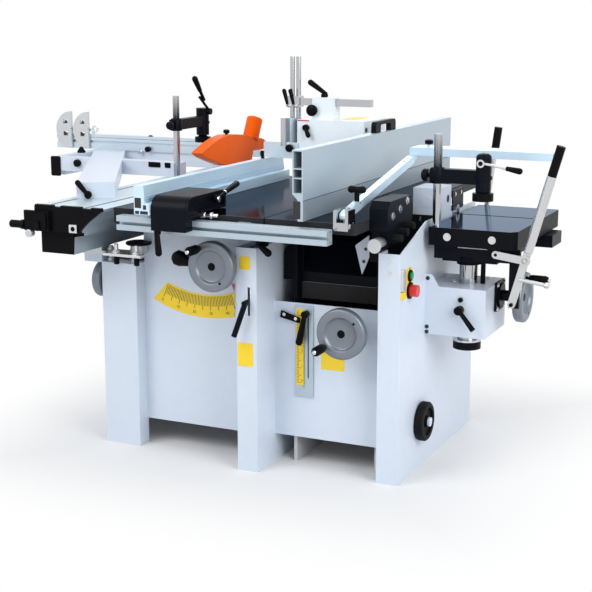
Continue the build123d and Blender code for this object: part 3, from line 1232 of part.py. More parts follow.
def clamp_lever():
    """The cam lever on the clamp head, lying back over the arm."""
    x0 = POST_X + CLAMP_HEAD_R + FACE_GAP
    y = POST_Y + CLAMP_ARM_LEN
    z = CLAMP_ARM_Z - CLAMP_HEAD_H / 3 + CLAMP_HEAD_H - CLAMP_PIN_R * 2
    hub = rod_x(x0, x0 + LOCK_T, y, z, CLAMP_PIN_R * 2)
    start = (x0 + LOCK_T / 2, y - CLAMP_PIN_R, z + CLAMP_PIN_R)
    tip = (x0 + LOCK_T / 2, y - CLAMP_LEVER_LEN * 0.8, z + CLAMP_LEVER_LEN * 0.6)
    lever = hub + bar_between(start, tip, LOCK_BAR_R)
    return lever - rod_x(x0 - 1, x0 + LOCK_T + 1, y, z, CLAMP_PIN_R + SHAFT_GAP)


def planer_frame():
    """Two side plates with bearing bosses, a cross beam and the guide tube of the rising bed."""
    frame = None
    for x0 in (PLANER_X0, PLANER_X1 - FRAME_T):
        plate = block(x0, x0 + FRAME_T, FRAME_Y0, FRAME_Y1, 0, PLANER_BOTTOM)
        plate += rod_x(x0, x0 + FRAME_T, CUTTER_Y, CUTTER_Z, BEARING_R)
        plate -= rod_x(x0 - 1, x0 + FRAME_T + 1, CUTTER_Y, CUTTER_Z, CUTTER_SHAFT_R + SHAFT_GAP)
        for end in (-1, 1):
            plate -= rod_x(x0 - 1, x0 + FRAME_T + 1, CUTTER_Y + end * ROLLER_DY, ROLLER_Z,
                           ROLLER_STUB_R + SHAFT_GAP)
        frame = plate if frame is None else frame + plate
    mid_x = (PLANER_X0 + PLANER_X1) / 2
    frame += block(PLANER_X0, PLANER_X1, -BEAM_W / 2, BEAM_W / 2, BEAM_Z, BEAM_Z + BEAM_H)
    frame += rod_z(mid_x, 0, BEAM_Z, LIFT_TUBE_TOP, LIFT_TUBE_R)
    frame -= rod_z(mid_x, 0, BEAM_Z + BEAM_H, LIFT_TUBE_TOP + 1, LIFT_ROD_R + SLIDE_GAP)
    frame += block(PLANER_X0, PLANER_X1, FRAME_Y1 - SKIRT_T, FRAME_Y1, FRAME_FLOOR_Z, BEAM_Z + BEAM_H)
    frame += block(PLANER_X0, PLANER_X1, PLANER_MOTOR_Y - MOTOR_FOOT_W / 2,
                   PLANER_MOTOR_Y + MOTOR_FOOT_W / 2, FRAME_FLOOR_Z, FRAME_FLOOR_Z + MOTOR_FOOT_T)
    return frame


def planer_table(y0, y1):
    top = block(PLANER_X0, PLANER_X1, y0, y1, PLANER_BOTTOM, TABLE_Z)
    pocket = block(PLANER_X0 + FRAME_T + SKIRT_T, PLANER_X1 - FRAME_T - SKIRT_T, y0 + SKIRT_T * 4,
                   y1 - SKIRT_T * 4, PLANER_BOTTOM - 1, TABLE_Z - PLANER_TOP_T)
    rib = block(PLANER_X0, PLANER_X1, (y0 + y1) / 2, (y0 + y1) / 2 + SKIRT_T, PLANER_BOTTOM - 1, TABLE_Z)
    top -= pocket - rib
    return top - rod_x(PLANER_X0 - 1, PLANER_X1 + 1, CUTTER_Y, CUTTER_Z, CUTTER_R + CUTTER_ROOM)


def planer_tables():
    lip = CUTTER_R / 2.5
    infeed = planer_table(TABLE_Y0, CUTTER_Y - lip)
    outfeed = planer_table(CUTTER_Y + lip, OUTFEED_Y1)
    return Compound(children=[infeed, outfeed, fence_block()])


def cutterblock():
    """A round block with knives in gullets, shaft ends in the side plates and a drill chuck."""
    x0 = PLANER_X0 + FRAME_T + FACE_GAP * 2
    x1 = PLANER_X1 - FRAME_T - FACE_GAP * 2
    body = rod_x(x0, x1, CUTTER_Y, CUTTER_Z, CUTTER_R - 1)
    for k in range(KNIFE_SLOTS):
        turn = Pos(0, CUTTER_Y, CUTTER_Z) * Rot(k * 360 / KNIFE_SLOTS, 0, 0)
        body -= turn * block(x0 - 1, x1 + 1, 0, GULLET_W, CUTTER_R - KNIFE_DEPTH, CUTTER_R + 1)
        body += turn * block(x0, x1, -KNIFE_W, 0, CUTTER_R - KNIFE_DEPTH, CUTTER_R)
    body += rod_x(PLANER_X0, CHUCK_X0, CUTTER_Y, CUTTER_Z, CUTTER_SHAFT_R)
    body += rod_x(CHUCK_X0, CHUCK_X1, CUTTER_Y, CUTTER_Z, CHUCK_R)
    return body - rod_x(CHUCK_X1 - CHUCK_BORE_LEN, CHUCK_X1 + 1, CUTTER_Y, CUTTER_Z, CHUCK_BORE_R)


def feed_roller(side):
    x0 = PLANER_X0 + FRAME_T + FACE_GAP * 2
    x1 = PLANER_X1 - FRAME_T - FACE_GAP * 2
    y = CUTTER_Y + side * ROLLER_DY
    roller = rod_x(x0, x1, y, ROLLER_Z, ROLLER_R)
    for k in range(ROLLER_GROOVES):
        turn = Pos(0, y, ROLLER_Z) * Rot(k * 360 / ROLLER_GROOVES, 0, 0)
        roller -= turn * block(x0 - 1, x1 + 1, -GROOVE_W / 2, GROOVE_W / 2, ROLLER_R - GROOVE_W / 2,
                               ROLLER_R + 1)
    return roller + rod_x(PLANER_X0, PLANER_X1, y, ROLLER_Z, ROLLER_STUB_R)


def thicknesser_table():
    x0 = PLANER_X0 + FRAME_T + BED_SIDE_GAP
    x1 = PLANER_X1 - FRAME_T - BED_SIDE_GAP
    bed = block(x0, x1, BED_Y0, BED_Y1, BED_Z - BED_APRON_H, BED_Z)
    bed -= block(x0 + SKIRT_T, x1 - SKIRT_T, BED_Y0 + SKIRT_T, BED_Y1 - SKIRT_T,
                 BED_Z - BED_APRON_H - 1, BED_Z - BED_T / 2)
    return bed + rod_z((PLANER_X0 + PLANER_X1) / 2, 0, LIFT_ROD_Z0, BED_Z - BED_T / 2, LIFT_ROD_R)


def chip_hood():
    """The folded sheet chip hood, laid on the thicknesser bed, with a sloping front."""
    x0 = PLANER_X0 + FRAME_T + HOOD_SIDE
    x1 = PLANER_X1 - FRAME_T - HOOD_SIDE
    z1 = BED_Z + HOOD_H
    outline = [(HOOD_Y0, BED_Z), (HOOD_Y1, BED_Z), (HOOD_Y1, z1), (HOOD_Y0 + HOOD_SLOPE, z1),
               (HOOD_Y0, BED_Z + HOOD_WALL * 8)]
    hood = prism_x(outline, x0, x1)
    inner = [(HOOD_Y0 + HOOD_WALL * 2, BED_Z + HOOD_WALL), (HOOD_Y1 + 1, BED_Z + HOOD_WALL),
             (HOOD_Y1 + 1, z1 - HOOD_WALL), (HOOD_Y0 + HOOD_SLOPE + HOOD_WALL, z1 - HOOD_WALL),
             (HOOD_Y0 + HOOD_WALL * 2, BED_Z + HOOD_WALL * 8)]
    return hood - prism_x(inner, x0 + HOOD_WALL, x1 - HOOD_WALL)


def planer_motor():
    barrel = motor(PLANER_MOTOR_LEN, PLANER_MOTOR_R, MOTOR_BOSS_R, MOTOR_BOSS_LEN)
    x0 = PLANER_MOTOR_X - PLANER_MOTOR_LEN / 2
    body = Pos(x0, PLANER_MOTOR_Y, PLANER_MOTOR_Z) * Rot(0, 90, 0) * barrel
    foot_z = FRAME_FLOOR_Z + MOTOR_FOOT_T
    half = MOTOR_FOOT_W / 2
    length = PLANER_MOTOR_LEN * 0.5
    return body + block(PLANER_MOTOR_X - length / 2, PLANER_MOTOR_X + length / 2, PLANER_MOTOR_Y - half / 2,
                        PLANER_MOTOR_Y + half / 2, foot_z, PLANER_MOTOR_Z)


def planer_handwheel():
    wheel = handwheel(WHEEL_R, PLANER_SHAFT_END - PLANER_WHEEL_Y)
    wheel = Rot(90, 0, 0) * Rot(0, 0, PLANER_WHEEL_TURN) * wheel
    return Pos(PLANER_WHEEL_X, PLANER_WHEEL_Y, PLANER_WHEEL_Z) * wheel


def thickness_scale():
    y1 = PLANER_PANEL_Y
    strip = block(SCALE_X0, SCALE_X0 + SCALE_W, y1 - SCALE_T, y1, SCALE_Z0, SCALE_Z0 + SCALE_H)
    mid = SCALE_X0 + SCALE_W / 2
    slot = block(mid - SCALE_SLOT_W / 2, mid + SCALE_SLOT_W / 2, y1 - SCALE_T - 1, y1 - SCALE_T / 2,
                 SCALE_Z0 + SCALE_W / 2, SCALE_Z0 + SCALE_H - SCALE_W / 2)
    return strip - slot


def planer_fence():
    """A tall hollow extrusion with a stepped foot, on a cross bar that slides in a block behind it."""
    x1 = PFENCE_X0 + PFENCE_T
    z1 = PFENCE_Z0 + PFENCE_H
    step_x = PFENCE_X0 + PFENCE_T / 2
    outline = [(step_x, PFENCE_Z0), (x1, PFENCE_Z0), (x1, z1), (PFENCE_X0, z1),
               (PFENCE_X0, PFENCE_Z0 + PFENCE_STEP + PFENCE_T / 2), (step_x, PFENCE_Z0 + PFENCE_STEP)]
    body = prism_y(outline, PFENCE_Y0, PFENCE_Y1)
    cell_z = PFENCE_Z0 + PFENCE_STEP + PFENCE_T / 2 + PFENCE_WALL
    room = z1 - cell_z
    for share in PFENCE_CELLS:
        body -= block(PFENCE_X0 + PFENCE_WALL, x1 - PFENCE_WALL, PFENCE_Y0 - 1, PFENCE_Y1 + 1, cell_z,
                      cell_z + room * share - PFENCE_WALL)
        cell_z += room * share
    bar_z = TABLE_Z + PFENCE_FOOT_H / 2
    body += block(PFENCE_X0 - PFENCE_FOOT_W / 2, step_x, PFENCE_BAR_Y - PFENCE_FOOT_D / 2,
                  PFENCE_BAR_Y + PFENCE_FOOT_D / 2, TABLE_Z + PFENCE_WALL, TABLE_Z + PFENCE_FOOT_H)
    return body + rod_x(PFENCE_X0 - PFENCE_BAR_LEN, PFENCE_X0, PFENCE_BAR_Y, bar_z, PFENCE_BAR_R)


def fence_block():
    """The block on the planer table's edge in which the planer fence's cross bar slides."""
    x0 = FENCE_BLOCK_X
    bar_z = TABLE_Z + PFENCE_FOOT_H / 2
    half = PFENCE_FOOT_D / 2
    body = block(x0, x0 + FENCE_BLOCK_W, PFENCE_BAR_Y - half, PFENCE_BAR_Y + half, TABLE_Z,
                 TABLE_Z + PFENCE_FOOT_H)
    return body - rod_x(x0 - 1, x0 + FENCE_BLOCK_W + 1, PFENCE_BAR_Y, bar_z, PFENCE_BAR_R + SLIDE_GAP)


def guard_carrier():
    """The black casting beside the infeed table with its lift bar, and the clevis of the guard arm."""
    body = block(PLANER_X1, CARRY_X1, CARRY_Y0, CARRY_Y1, CARRY_STEP_Z, CARRY_Z1)
    body = chamfer(body.edges().filter_by(Axis.X).group_by(Axis.Z)[-1], LIFT_BAR_R)
    bar_x = (PLANER_X1 + CARRY_X1) / 2
    body += block(PLANER_X1, CARRY_X1, CARRY_Y0 + LIFT_BAR_R, CARRY_Y1 - LIFT_BAR_R, LIFT_BAR_Z,
                  CARRY_STEP_Z)
    body += rod_y(bar_x, LIFT_BAR_Y0, CARRY_Y1, LIFT_BAR_Z, LIFT_BAR_R)
    base = block(BRACKET_X0, BRACKET_X1, BRACKET_Y0, TABLE_Y0, BRACKET_Z0, TABLE_Z)
    base += block(BRACKET_X0, BRACKET_X1, BRACKET_Y0, BRACKET_Y1, TABLE_Z, TABLE_Z + EAR_T / 2)
    for x in (BRACKET_X0, BRACKET_X1 - EAR_T):
        base += block(x, x + EAR_T, BRACKET_Y0, BRACKET_Y1, TABLE_Z, BRACKET_Z1)
    base += rod_x(BRACKET_X0, BRACKET_X1, ARM_PIVOT_Y, ARM_PIVOT_Z, ARM_PIN_R)
    return Compound(children=[body, base])


def guard_arm():
    """A flat rising arm on the clevis pin, with a level head that the bridge guard slides on."""
    mid_x = (BRACKET_X0 + BRACKET_X1) / 2
    rise = radians(ARM_RISE)
    end_y = STRIP_Y0 - STRIP_LIP
    length = (end_y - ARM_PIVOT_Y) / cos(rise)
    nx = -sin(rise) * ARM_DEPTH / 2
    nz = cos(rise) * ARM_DEPTH / 2
    end_z = ARM_PIVOT_Z + length * sin(rise)
    head_z1 = STRIP_Z + STRIP_T - STRIP_WALL - FACE_GAP
    head_y0 = STRIP_Y0 + STRIP_WALL + FACE_GAP
    head_y1 = STRIP_Y0 + STRIP_W - STRIP_WALL - FACE_GAP
    arm = prism_x([(ARM_PIVOT_Y - nx, ARM_PIVOT_Z - nz), (end_y - nx, end_z - nz),
                   (head_y0 + STRIP_LIP * 2, STRIP_Z - FACE_GAP * 2), (end_y + nx, end_z + nz),
                   (ARM_PIVOT_Y + nx, ARM_PIVOT_Z + nz)], mid_x - ARM_T / 2, mid_x + ARM_T / 2)
    arm += rod_x(mid_x - ARM_T / 2, mid_x + ARM_T / 2, ARM_PIVOT_Y, ARM_PIVOT_Z, ARM_DEPTH / 2)
    arm -= rod_x(mid_x - ARM_T, mid_x + ARM_T, ARM_PIVOT_Y, ARM_PIVOT_Z, ARM_PIN_R + SHAFT_GAP)
    arm += block(mid_x - ARM_T / 2, mid_x + ARM_T / 2, head_y0, head_y0 + STRIP_LIP * 2, end_z, head_z1)
    return arm + block(mid_x - ARM_T / 2, mid_x + HEAD_LEN, head_y0, head_y1, STRIP_Z + STRIP_WALL, head_z1)


def bridge_guard():
    """A long channel that covers the cutterblock."""
    x1 = STRIP_X0 + STRIP_LEN
    strip = block(STRIP_X0, x1, STRIP_Y0, STRIP_Y0 + STRIP_W, STRIP_Z, STRIP_Z + STRIP_T)
    return strip - block(STRIP_X0 - 1, x1 + 1, STRIP_Y0 + STRIP_WALL, STRIP_Y0 + STRIP_W - STRIP_WALL,
                         STRIP_Z - 1, STRIP_Z + STRIP_T - STRIP_WALL)


def spindle_quill():
    quill = rod_z(SPINDLE_X, SPINDLE_Y, QUILL_Z0, QUILL_Z1, QUILL_R)
    quill -= rod_z(SPINDLE_X, SPINDLE_Y, QUILL_Z0 - 1, QUILL_Z1 + 1, SPINDLE_R + SHAFT_GAP)
    barrel = motor(SPINDLE_MOTOR_H, SPINDLE_MOTOR_R, QUILL_R, SPINDLE_R)
    return quill + Pos(SPINDLE_X, SPINDLE_Y, QUILL_Z0) * Rot(180, 0, 0) * barrel


def spindle():
    shaft = rod_z(SPINDLE_X, SPINDLE_Y, QUILL_Z0 + SPINDLE_R, SPINDLE_TOP, SPINDLE_R)
    z0 = QUILL_Z1 + FACE_GAP
    shaft += rod_z(SPINDLE_X, SPINDLE_Y, z0, z0 + COLLAR_H, SPINDLE_SHOULDER_R)
    shaft += rod_z(SPINDLE_X, SPINDLE_Y, TOOL_Z - COLLAR_H, TOOL_Z, SPINDLE_SHOULDER_R)
    tool = rod_z(SPINDLE_X, SPINDLE_Y, TOOL_Z, TOOL_Z + TOOL_H, TOOL_R)
    for turn in (0, 90, 180, 270):
        a = radians(turn)
        tool -= Pos(SPINDLE_X + TOOL_R * cos(a), SPINDLE_Y + TOOL_R * sin(a),
                    TOOL_Z + TOOL_H / 2) * Cylinder(TOOL_R / 3, TOOL_H + 2)
    return shaft + tool + rod_z(SPINDLE_X, SPINDLE_Y, TOOL_Z + TOOL_H, TOOL_Z + TOOL_H + COLLAR_H,
                                SPINDLE_SHOULDER_R)


def spindle_handwheel():
    wheel = handwheel(SPINDLE_WHEEL_R, LEFT + SHEET * 4 - SPINDLE_WHEEL_X)
    return Pos(SPINDLE_WHEEL_X, SPINDLE_WHEEL_Y, SPINDLE_WHEEL_Z) * Rot(0, -90, 0) * wheel


def moulder_hood():
    """A sheet hood open towards the sliding table, with a clamp block on top and two fence plates."""
    z0 = TABLE_Z
    hood = block(MHOOD_X0, MHOOD_X1, MHOOD_Y0, MHOOD_Y1, z0, MHOOD_Z1)
    hood -= block(MHOOD_X0 - 1, MHOOD_X1 - MHOOD_T, MHOOD_Y0 + MHOOD_T, MHOOD_Y1 - MHOOD_T, z0 - 1,
                  MHOOD_Z1 - MHOOD_T)
    mid_y = MBAR_Y
    top = block(MBLOCK_X0, MBLOCK_X0 + MBLOCK_W, mid_y - MBLOCK_D / 2, mid_y + MBLOCK_D / 2, MHOOD_Z1,
                MHOOD_Z1 + MBLOCK_H)
    room = MBAR_SIDE / 2 + SLIDE_GAP
    top -= block(MBLOCK_X0 - 1, MBLOCK_X0 + MBLOCK_W + 1, mid_y - room, mid_y + room, MBAR_Z - room,
                 MBAR_Z + room)
    near = block(MHOOD_X0 - MFENCE_T, MHOOD_X0, MHOOD_Y0, MHOOD_Y0 + MFENCE_W, z0, z0 + MFENCE_H)
    far = block(MHOOD_X0 - MFENCE_T, MHOOD_X0, MHOOD_Y1 - MFENCE_W, MHOOD_Y1, z0, z0 + MFENCE_H)
    return hood + top + near + far


def moulder_bars():
    """The square cross bar, the clamp on its end, two upright bars and the pressure shoe below."""
    half = MBAR_SIDE / 2
    bar = block(MBAR_X0, MBAR_X1, MBAR_Y - half, MBAR_Y + half, MBAR_Z - half, MBAR_Z + half)
    x_near = MBAR_X0 + half
    x_far = x_near - MPOST_PITCH
    bar += block(x_far - MPOST_R - MCLAMP_T / 2, x_near + MPOST_R - FACE_GAP * 2, MBAR_Y - MCLAMP_T,
                 MBAR_Y + MCLAMP_T, MBAR_Z - MCLAMP_T, MBAR_Z + MCLAMP_T)
    for x in (x_near, x_far):
        bar += rod_z(x - FACE_GAP * 4, MBAR_Y, MPOST_Z0, MPOST_Z1, MPOST_R - FACE_GAP * 2)
    bar += block(x_far - MPOST_R, x_near + MPOST_R / 2, MBAR_Y - MPOST_R, MBAR_Y + MPOST_R, MPOST_Z0,
                 MPOST_Z0 + MCLAMP_T)
    shoe = sector(x_far - SHOE_W / 2, 0, SHOE_W - SHOE_T, SHOE_W, SHOE_A0, SHOE_A1, 0, SHOE_H)
    shoe = Pos(0, MBAR_Y, SHOE_Z0) * Rot(90, 0, 0) * shoe
    return bar + shoe


def mortise_bracket():
    outer = block(RIGHT, MB_X1, MB_Y0, MB_Y1, MB_Z0, MB_Z1)
    inner = block(RIGHT + MB_WALL, MB_X1 - MB_WALL, MB_Y0 + MB_WALL, MB_Y1 - MB_WALL, MB_Z0 + MB_WALL,
                  MB_Z1 - MB_WALL)
    box = outer - inner
    tall = MB_Z1 + MB_FLANGE_H
    box += prism_y([(RIGHT, MB_Z1), (RIGHT + MB_FLANGE_W, MB_Z1), (RIGHT + MB_FLANGE_W / 2, tall),
                    (RIGHT, tall)], MB_Y0, MB_Y0 + MB_WALL)
    box -= rod_z(COL_X, COL_Y, MB_Z0 - 1, MB_Z1 + 1, COL_R + SLIDE_GAP)
    box -= rod_z(COL_X + SCREW_DX, COL_Y, MB_Z1 - 2 * MB_WALL, MB_Z1 + 1, SCREW_R + SLIDE_GAP)
    box += rod_x(MB_X1, MB_X1 + MWHEEL_FLANGE_T, MWHEEL_Y, MWHEEL_Z, MWHEEL_FLANGE_R)
    box -= rod_x(MB_X1 - 2 * MB_WALL, MB_X1 + MWHEEL_FLANGE_T + 1, MWHEEL_Y, MWHEEL_Z,
                 WHEEL_SHAFT_R + SHAFT_GAP)
    stud = rod_y(MLOCK_X, MB_Y0 - MLOCK_HUB_T / 2, MB_Y0 + MB_WALL, MLOCK_Z, MLOCK_R / 2)
    return Compound(children=[box + stud, bit_guard()])


def bit_guard():
    """The folded cover over the drill chuck end, with a window and a hanging plate."""
    cover = block(BIT_X0, BIT_X1, BIT_Y0, BIT_Y1, PLANER_BOTTOM, BIT_Z1)
    cover -= block(BIT_X0 + BIT_WALL, BIT_X1 - BIT_WALL, BIT_Y0 + BIT_WALL, BIT_Y1 - BIT_WALL,
                   PLANER_BOTTOM - 1, BIT_Z1 - BIT_WALL)
    cover -= rod_y((BIT_X0 + BIT_X1) / 2, BIT_Y0 - 1, BIT_Y0 + 2 * BIT_WALL,
                   (PLANER_BOTTOM + BIT_Z1) / 2, BIT_HOLE_R)
    return cover


def mortise_column():
    column = rod_z(COL_X, COL_Y, COL_Z0, KNEE_Z, COL_R)
    column += rod_z(COL_X, COL_Y, COL_Z0, COL_Z0 + COL_CAP_H, COL_CAP_R)
    column += rod_z(COL_X, COL_Y, KNEE_Z - COL_COLLAR_H, KNEE_Z, COL_COLLAR_R)
    column += block(KNEE_X0, KNEE_X1, KNEE_Y0, KNEE_Y1, KNEE_Z, KNEE_Z + KNEE_T)
    mid = (KNEE_X0 + KNEE_X1) / 2
    column += block(mid - KNEE_KEY_W / 2, mid + KNEE_KEY_W / 2, KNEE_Y0, KNEE_Y1, KNEE_Z + KNEE_T,
                    KNEE_Z + KNEE_T + KNEE_KEY_H)
    column += rod_z(COL_X + SCREW_DX, COL_Y, MB_Z1 - COL_COLLAR_H, KNEE_Z, SCREW_R)
    arm_x0 = CROSS_LEV_X + CROSS_LEV_T / 2 + FACE_GAP
    arm_y0 = KNEE_Y1 - 2 * KNEE_T
    column += block(arm_x0, arm_x0 + KNEE_T, arm_y0, CROSS_LEV_Y + KNEE_T, KNEE_Z, KNEE_Z + KNEE_T)
    column += block(arm_x0, KNEE_X0 + KNEE_T, arm_y0, KNEE_Y1, KNEE_Z, KNEE_Z + KNEE_T)
    return column + rod_x(CROSS_LEV_X - CROSS_LEV_T / 2, arm_x0, CROSS_LEV_Y, KNEE_Z + KNEE_T / 2,
                          LEV_PIN_R - FACE_GAP)


def mortise_saddle():
    saddle = block(SADDLE_X0, SADDLE_X1, SADDLE_Y0, SADDLE_Y1, SADDLE_Z0, SADDLE_Z1)
    mid = (KNEE_X0 + KNEE_X1) / 2
    room = KNEE_KEY_W / 2 + SLIDE_GAP
    saddle -= block(mid - room, mid + room, SADDLE_Y0 - 1, SADDLE_Y1 + 1, SADDLE_Z0 - 1,
                    KNEE_Z + KNEE_T + KNEE_KEY_H + SLIDE_GAP)
    key_y = (SADDLE_Y0 + SADDLE_Y1) / 2
    saddle += block(SADDLE_X0, SADDLE_X1, key_y - SADDLE_KEY_W / 2, key_y + SADDLE_KEY_W / 2, SADDLE_Z1,
                    SADDLE_Z1 + SADDLE_KEY_H)
    leg_x1 = LEV_X + LEVER_LEG_W / 2
    saddle += block(SADDLE_X1, leg_x1, SADDLE_Y0, SADDLE_Y0 + LEVER_LEG_T, SADDLE_Z0, SADDLE_Z1)
    saddle += block(leg_x1 - LEVER_LEG_W, leg_x1, SADDLE_Y0, SADDLE_Y0 + LEVER_LEG_T,
                    LEV_Z - LEVER_LEG_W / 2, SADDLE_Z0)
    saddle += rod_y(LEV_X, LEV_Y + LEV_T / 2 + FACE_GAP, SADDLE_Y0, LEV_Z, LEV_W / 2)
    return saddle + rod_y(LEV_X, LEV_Y - LEV_T, SADDLE_Y0, LEV_Z, LEV_PIN_R)


def mortise_table():
    """The cast table: clipped front corner, skirt, a slot across it and a lug for the plunge link."""
    z0 = SADDLE_Z1 + SLIDE_GAP
    outline = [(MT_X0, MT_Y0), (MT_X1 - MT_CORNER, MT_Y0), (MT_X1, MT_Y0 + MT_CORNER), (MT_X1, MT_Y1),
               (MT_X0, MT_Y1)]
    table = prism_z(outline, z0, MT_TOP)
    inner = [(MT_X0 + MT_SKIRT, MT_Y0 + MT_SKIRT), (MT_X1 - MT_CORNER, MT_Y0 + MT_SKIRT),
             (MT_X1 - MT_SKIRT, MT_Y0 + MT_CORNER), (MT_X1 - MT_SKIRT, MT_Y1 - MT_SKIRT),
             (MT_X0 + MT_SKIRT, MT_Y1 - MT_SKIRT)]
    table -= prism_z(inner, z0 - 1, MORTISE_PLATE_Z)
    key_y = (SADDLE_Y0 + SADDLE_Y1) / 2
    rail = SADDLE_KEY_W / 2 + SLIDE_GAP
    for side in (-1, 1):
        y = key_y + side * (rail + SADDLE_KEY_W / 4)
        table += block(MT_X0, MT_X1, y - SADDLE_KEY_W / 4, y + SADDLE_KEY_W / 4, z0, MORTISE_PLATE_Z)
    table -= block(MT_X0 - 1, MT_X1 + 1, key_y - rail, key_y + rail, z0 - 1,
                   SADDLE_Z1 + SADDLE_KEY_H + SLIDE_GAP)
    table -= block(MT_X0 - 1, MT_X1 + 1, MT_SLOT_Y - SLOT_W / 2, MT_SLOT_Y + SLOT_W / 2,
                   MT_TOP - SLOT_D / 2, MT_TOP + 1)
    link_x = LEV_X + LEV_LINK_DX - LINK_LEN
    lug_z = LEV_Z + LEV_LINK_DZ + LINK_DROP
    table += block(link_x - LEV_W / 2, link_x + LEV_W / 2, MT_Y0, MT_Y0 + MT_SKIRT, lug_z - LEV_W / 2, z0)
    return table + rod_y(link_x, LINK_Y - LINK_T, MT_Y0, lug_z, LINK_PIN_R)


def lever_grip(start, end, bar_r, grip_r, grip_len):
    """A round lever bar with a grip on its end."""
    a = Vector(*start)
    b = Vector(*end)
    way = (b - a).normalized()
    return bar_between(start, end, bar_r) + bar_between(tuple(b - way * grip_len), end, grip_r)


def plunge_lever():
    y0 = LEV_Y - LEV_T / 2
    y1 = LEV_Y + LEV_T / 2
    slope = atan2(LEV_TOP_DX, LEV_TOP_DZ)
    half = LEV_W / 2
    nx = cos(slope) * half
    nz = -sin(slope) * half
    top = (LEV_X + LEV_TOP_DX * LEV_FLAT, LEV_Z + LEV_TOP_DZ * LEV_FLAT)
    arm = prism_y([(LEV_X - nx, LEV_Z - nz), (LEV_X + nx, LEV_Z + nz), (top[0] + nx, top[1] + nz),
                   (top[0] - nx, top[1] - nz)], y0, y1)
    arm += rod_y(LEV_X, y0, y1, LEV_Z, half)
    arm -= rod_y(LEV_X, y0 - 1, y1 + 1, LEV_Z, LEV_PIN_R + SHAFT_GAP)
    grip_end = (LEV_X + LEV_TOP_DX, LEV_Y, LEV_Z + LEV_TOP_DZ)
    arm += lever_grip((top[0] - sin(slope) * half, LEV_Y, top[1] - cos(slope) * half), grip_end,
                      LEV_BAR_R, LEV_GRIP_R, LEV_GRIP_LEN)
    return arm + rod_y(LEV_X + LEV_LINK_DX, LINK_Y - LINK_T, y0, LEV_Z + LEV_LINK_DZ, LINK_PIN_R)


def plunge_link():
    """The flat link from the table to the lever, with a long eye at the lever."""
    x1 = LEV_X + LEV_LINK_DX
    z1 = LEV_Z + LEV_LINK_DZ
    x0 = x1 - LINK_LEN
    z0 = z1 + LINK_DROP
    y0 = LINK_Y - LINK_T
    half = LEV_W / 2
    link = prism_y([(x0, z0 - half), (x1, z1 - half), (x1, z1 + half), (x0, z0 + half)], y0, LINK_Y)
    link += rod_y(x0, y0, LINK_Y, z0, half)
    link += rod_y(x1, y0, LINK_Y, z1, LINK_PIN_R + LINK_ROOM + LINK_T)
    link -= rod_y(x0, y0 - 1, LINK_Y + 1, z0, LINK_PIN_R + SHAFT_GAP)
    return link - rod_y(x1, y0 - 1, LINK_Y + 1, z1, LINK_PIN_R + LINK_ROOM)


def cross_lever():
    x = CROSS_LEV_X
    z = KNEE_Z + KNEE_T / 2
    hub = rod_x(x - CROSS_LEV_T / 2, x + CROSS_LEV_T / 2, CROSS_LEV_Y, z, LEV_W / 2)
    hub += lever_grip((x, CROSS_LEV_Y, z + LEV_W / 3),
                      (x + CROSS_LEV_DX, CROSS_LEV_Y, z + CROSS_LEV_DZ), CROSS_LEV_T / 2, LEV_GRIP_R,
                      CROSS_GRIP_LEN)
    return hub - rod_x(x - CROSS_LEV_T, x + CROSS_LEV_T, CROSS_LEV_Y, z, LEV_PIN_R - FACE_GAP + SHAFT_GAP)


def mortise_handwheel():
    wheel = handwheel(WHEEL_R, MWHEEL_X - MB_X1 + MB_WALL * 2)
    return Pos(MWHEEL_X, MWHEEL_Y, MWHEEL_Z) * Rot(0, 90, 0) * Rot(0, 0, MWHEEL_TURN) * wheel


def mortise_lock_lever():
    lever = ratchet_lever(MLOCK_HUB_R, MLOCK_HUB_T, MLOCK_LEN, MLOCK_R)
    y = MB_Y0 - FACE_GAP
    lever = Pos(MLOCK_X, y, MLOCK_Z) * Rot(90, 0, 0) * Rot(0, 0, MLOCK_ANGLE) * lever
    return lever - rod_y(MLOCK_X, y - MLOCK_HUB_T / 2 - FACE_GAP, y + 1, MLOCK_Z, MLOCK_R / 2 + SHAFT_GAP)


def hold_down():
    post = rod_z(HD_X, HD_Y, MT_TOP, HD_TOP, HD_R)
    x1 = HD_X + HD_ARM_LEN
    arm = block(HD_X - HD_R * 1.6, x1, HD_Y - HD_ARM_W / 2, HD_Y + HD_ARM_W / 2, HD_ARM_Z,
                HD_ARM_Z + HD_ARM_H)
    head_z0 = HD_ARM_Z - HD_ARM_H / 2
    head = rod_z(x1, HD_Y, head_z0, head_z0 + HD_HEAD_H, HD_HEAD_R)
    head += rod_z(x1, HD_Y, HD_PAD_Z, head_z0, HD_R * 0.7)
    head += rod_z(x1, HD_Y, HD_PAD_Z, HD_PAD_Z + HD_PAD_H, HD_PAD_R)
    pin_z = head_z0 + HD_HEAD_H - HD_PIN_R * 2.5
    head += rod_y(x1, HD_Y - HD_HEAD_R - LOCK_T - FACE_GAP, HD_Y, pin_z, HD_PIN_R)
    return post + arm + head


def hold_down_lever():
    x = HD_X + HD_ARM_LEN
    y1 = HD_Y - HD_HEAD_R - FACE_GAP
    z = HD_ARM_Z - HD_ARM_H / 2 + HD_HEAD_H - HD_PIN_R * 2.5
    hub = rod_y(x, y1 - LOCK_T, y1, z, HD_PIN_R * 1.8)
    mid_y = y1 - LOCK_T / 2
    hub += lever_grip((x + HD_PIN_R, mid_y, z), (x + HD_LEVER_LEN, mid_y, z - HD_LEVER_LEN / 7),
                      LOCK_T / 3, LOCK_T / 2 - 1, HD_LEVER_LEN / 2)
    return hub - rod_y(x, y1 - LOCK_T - 1, y1 + 1, z, HD_PIN_R + SHAFT_GAP)


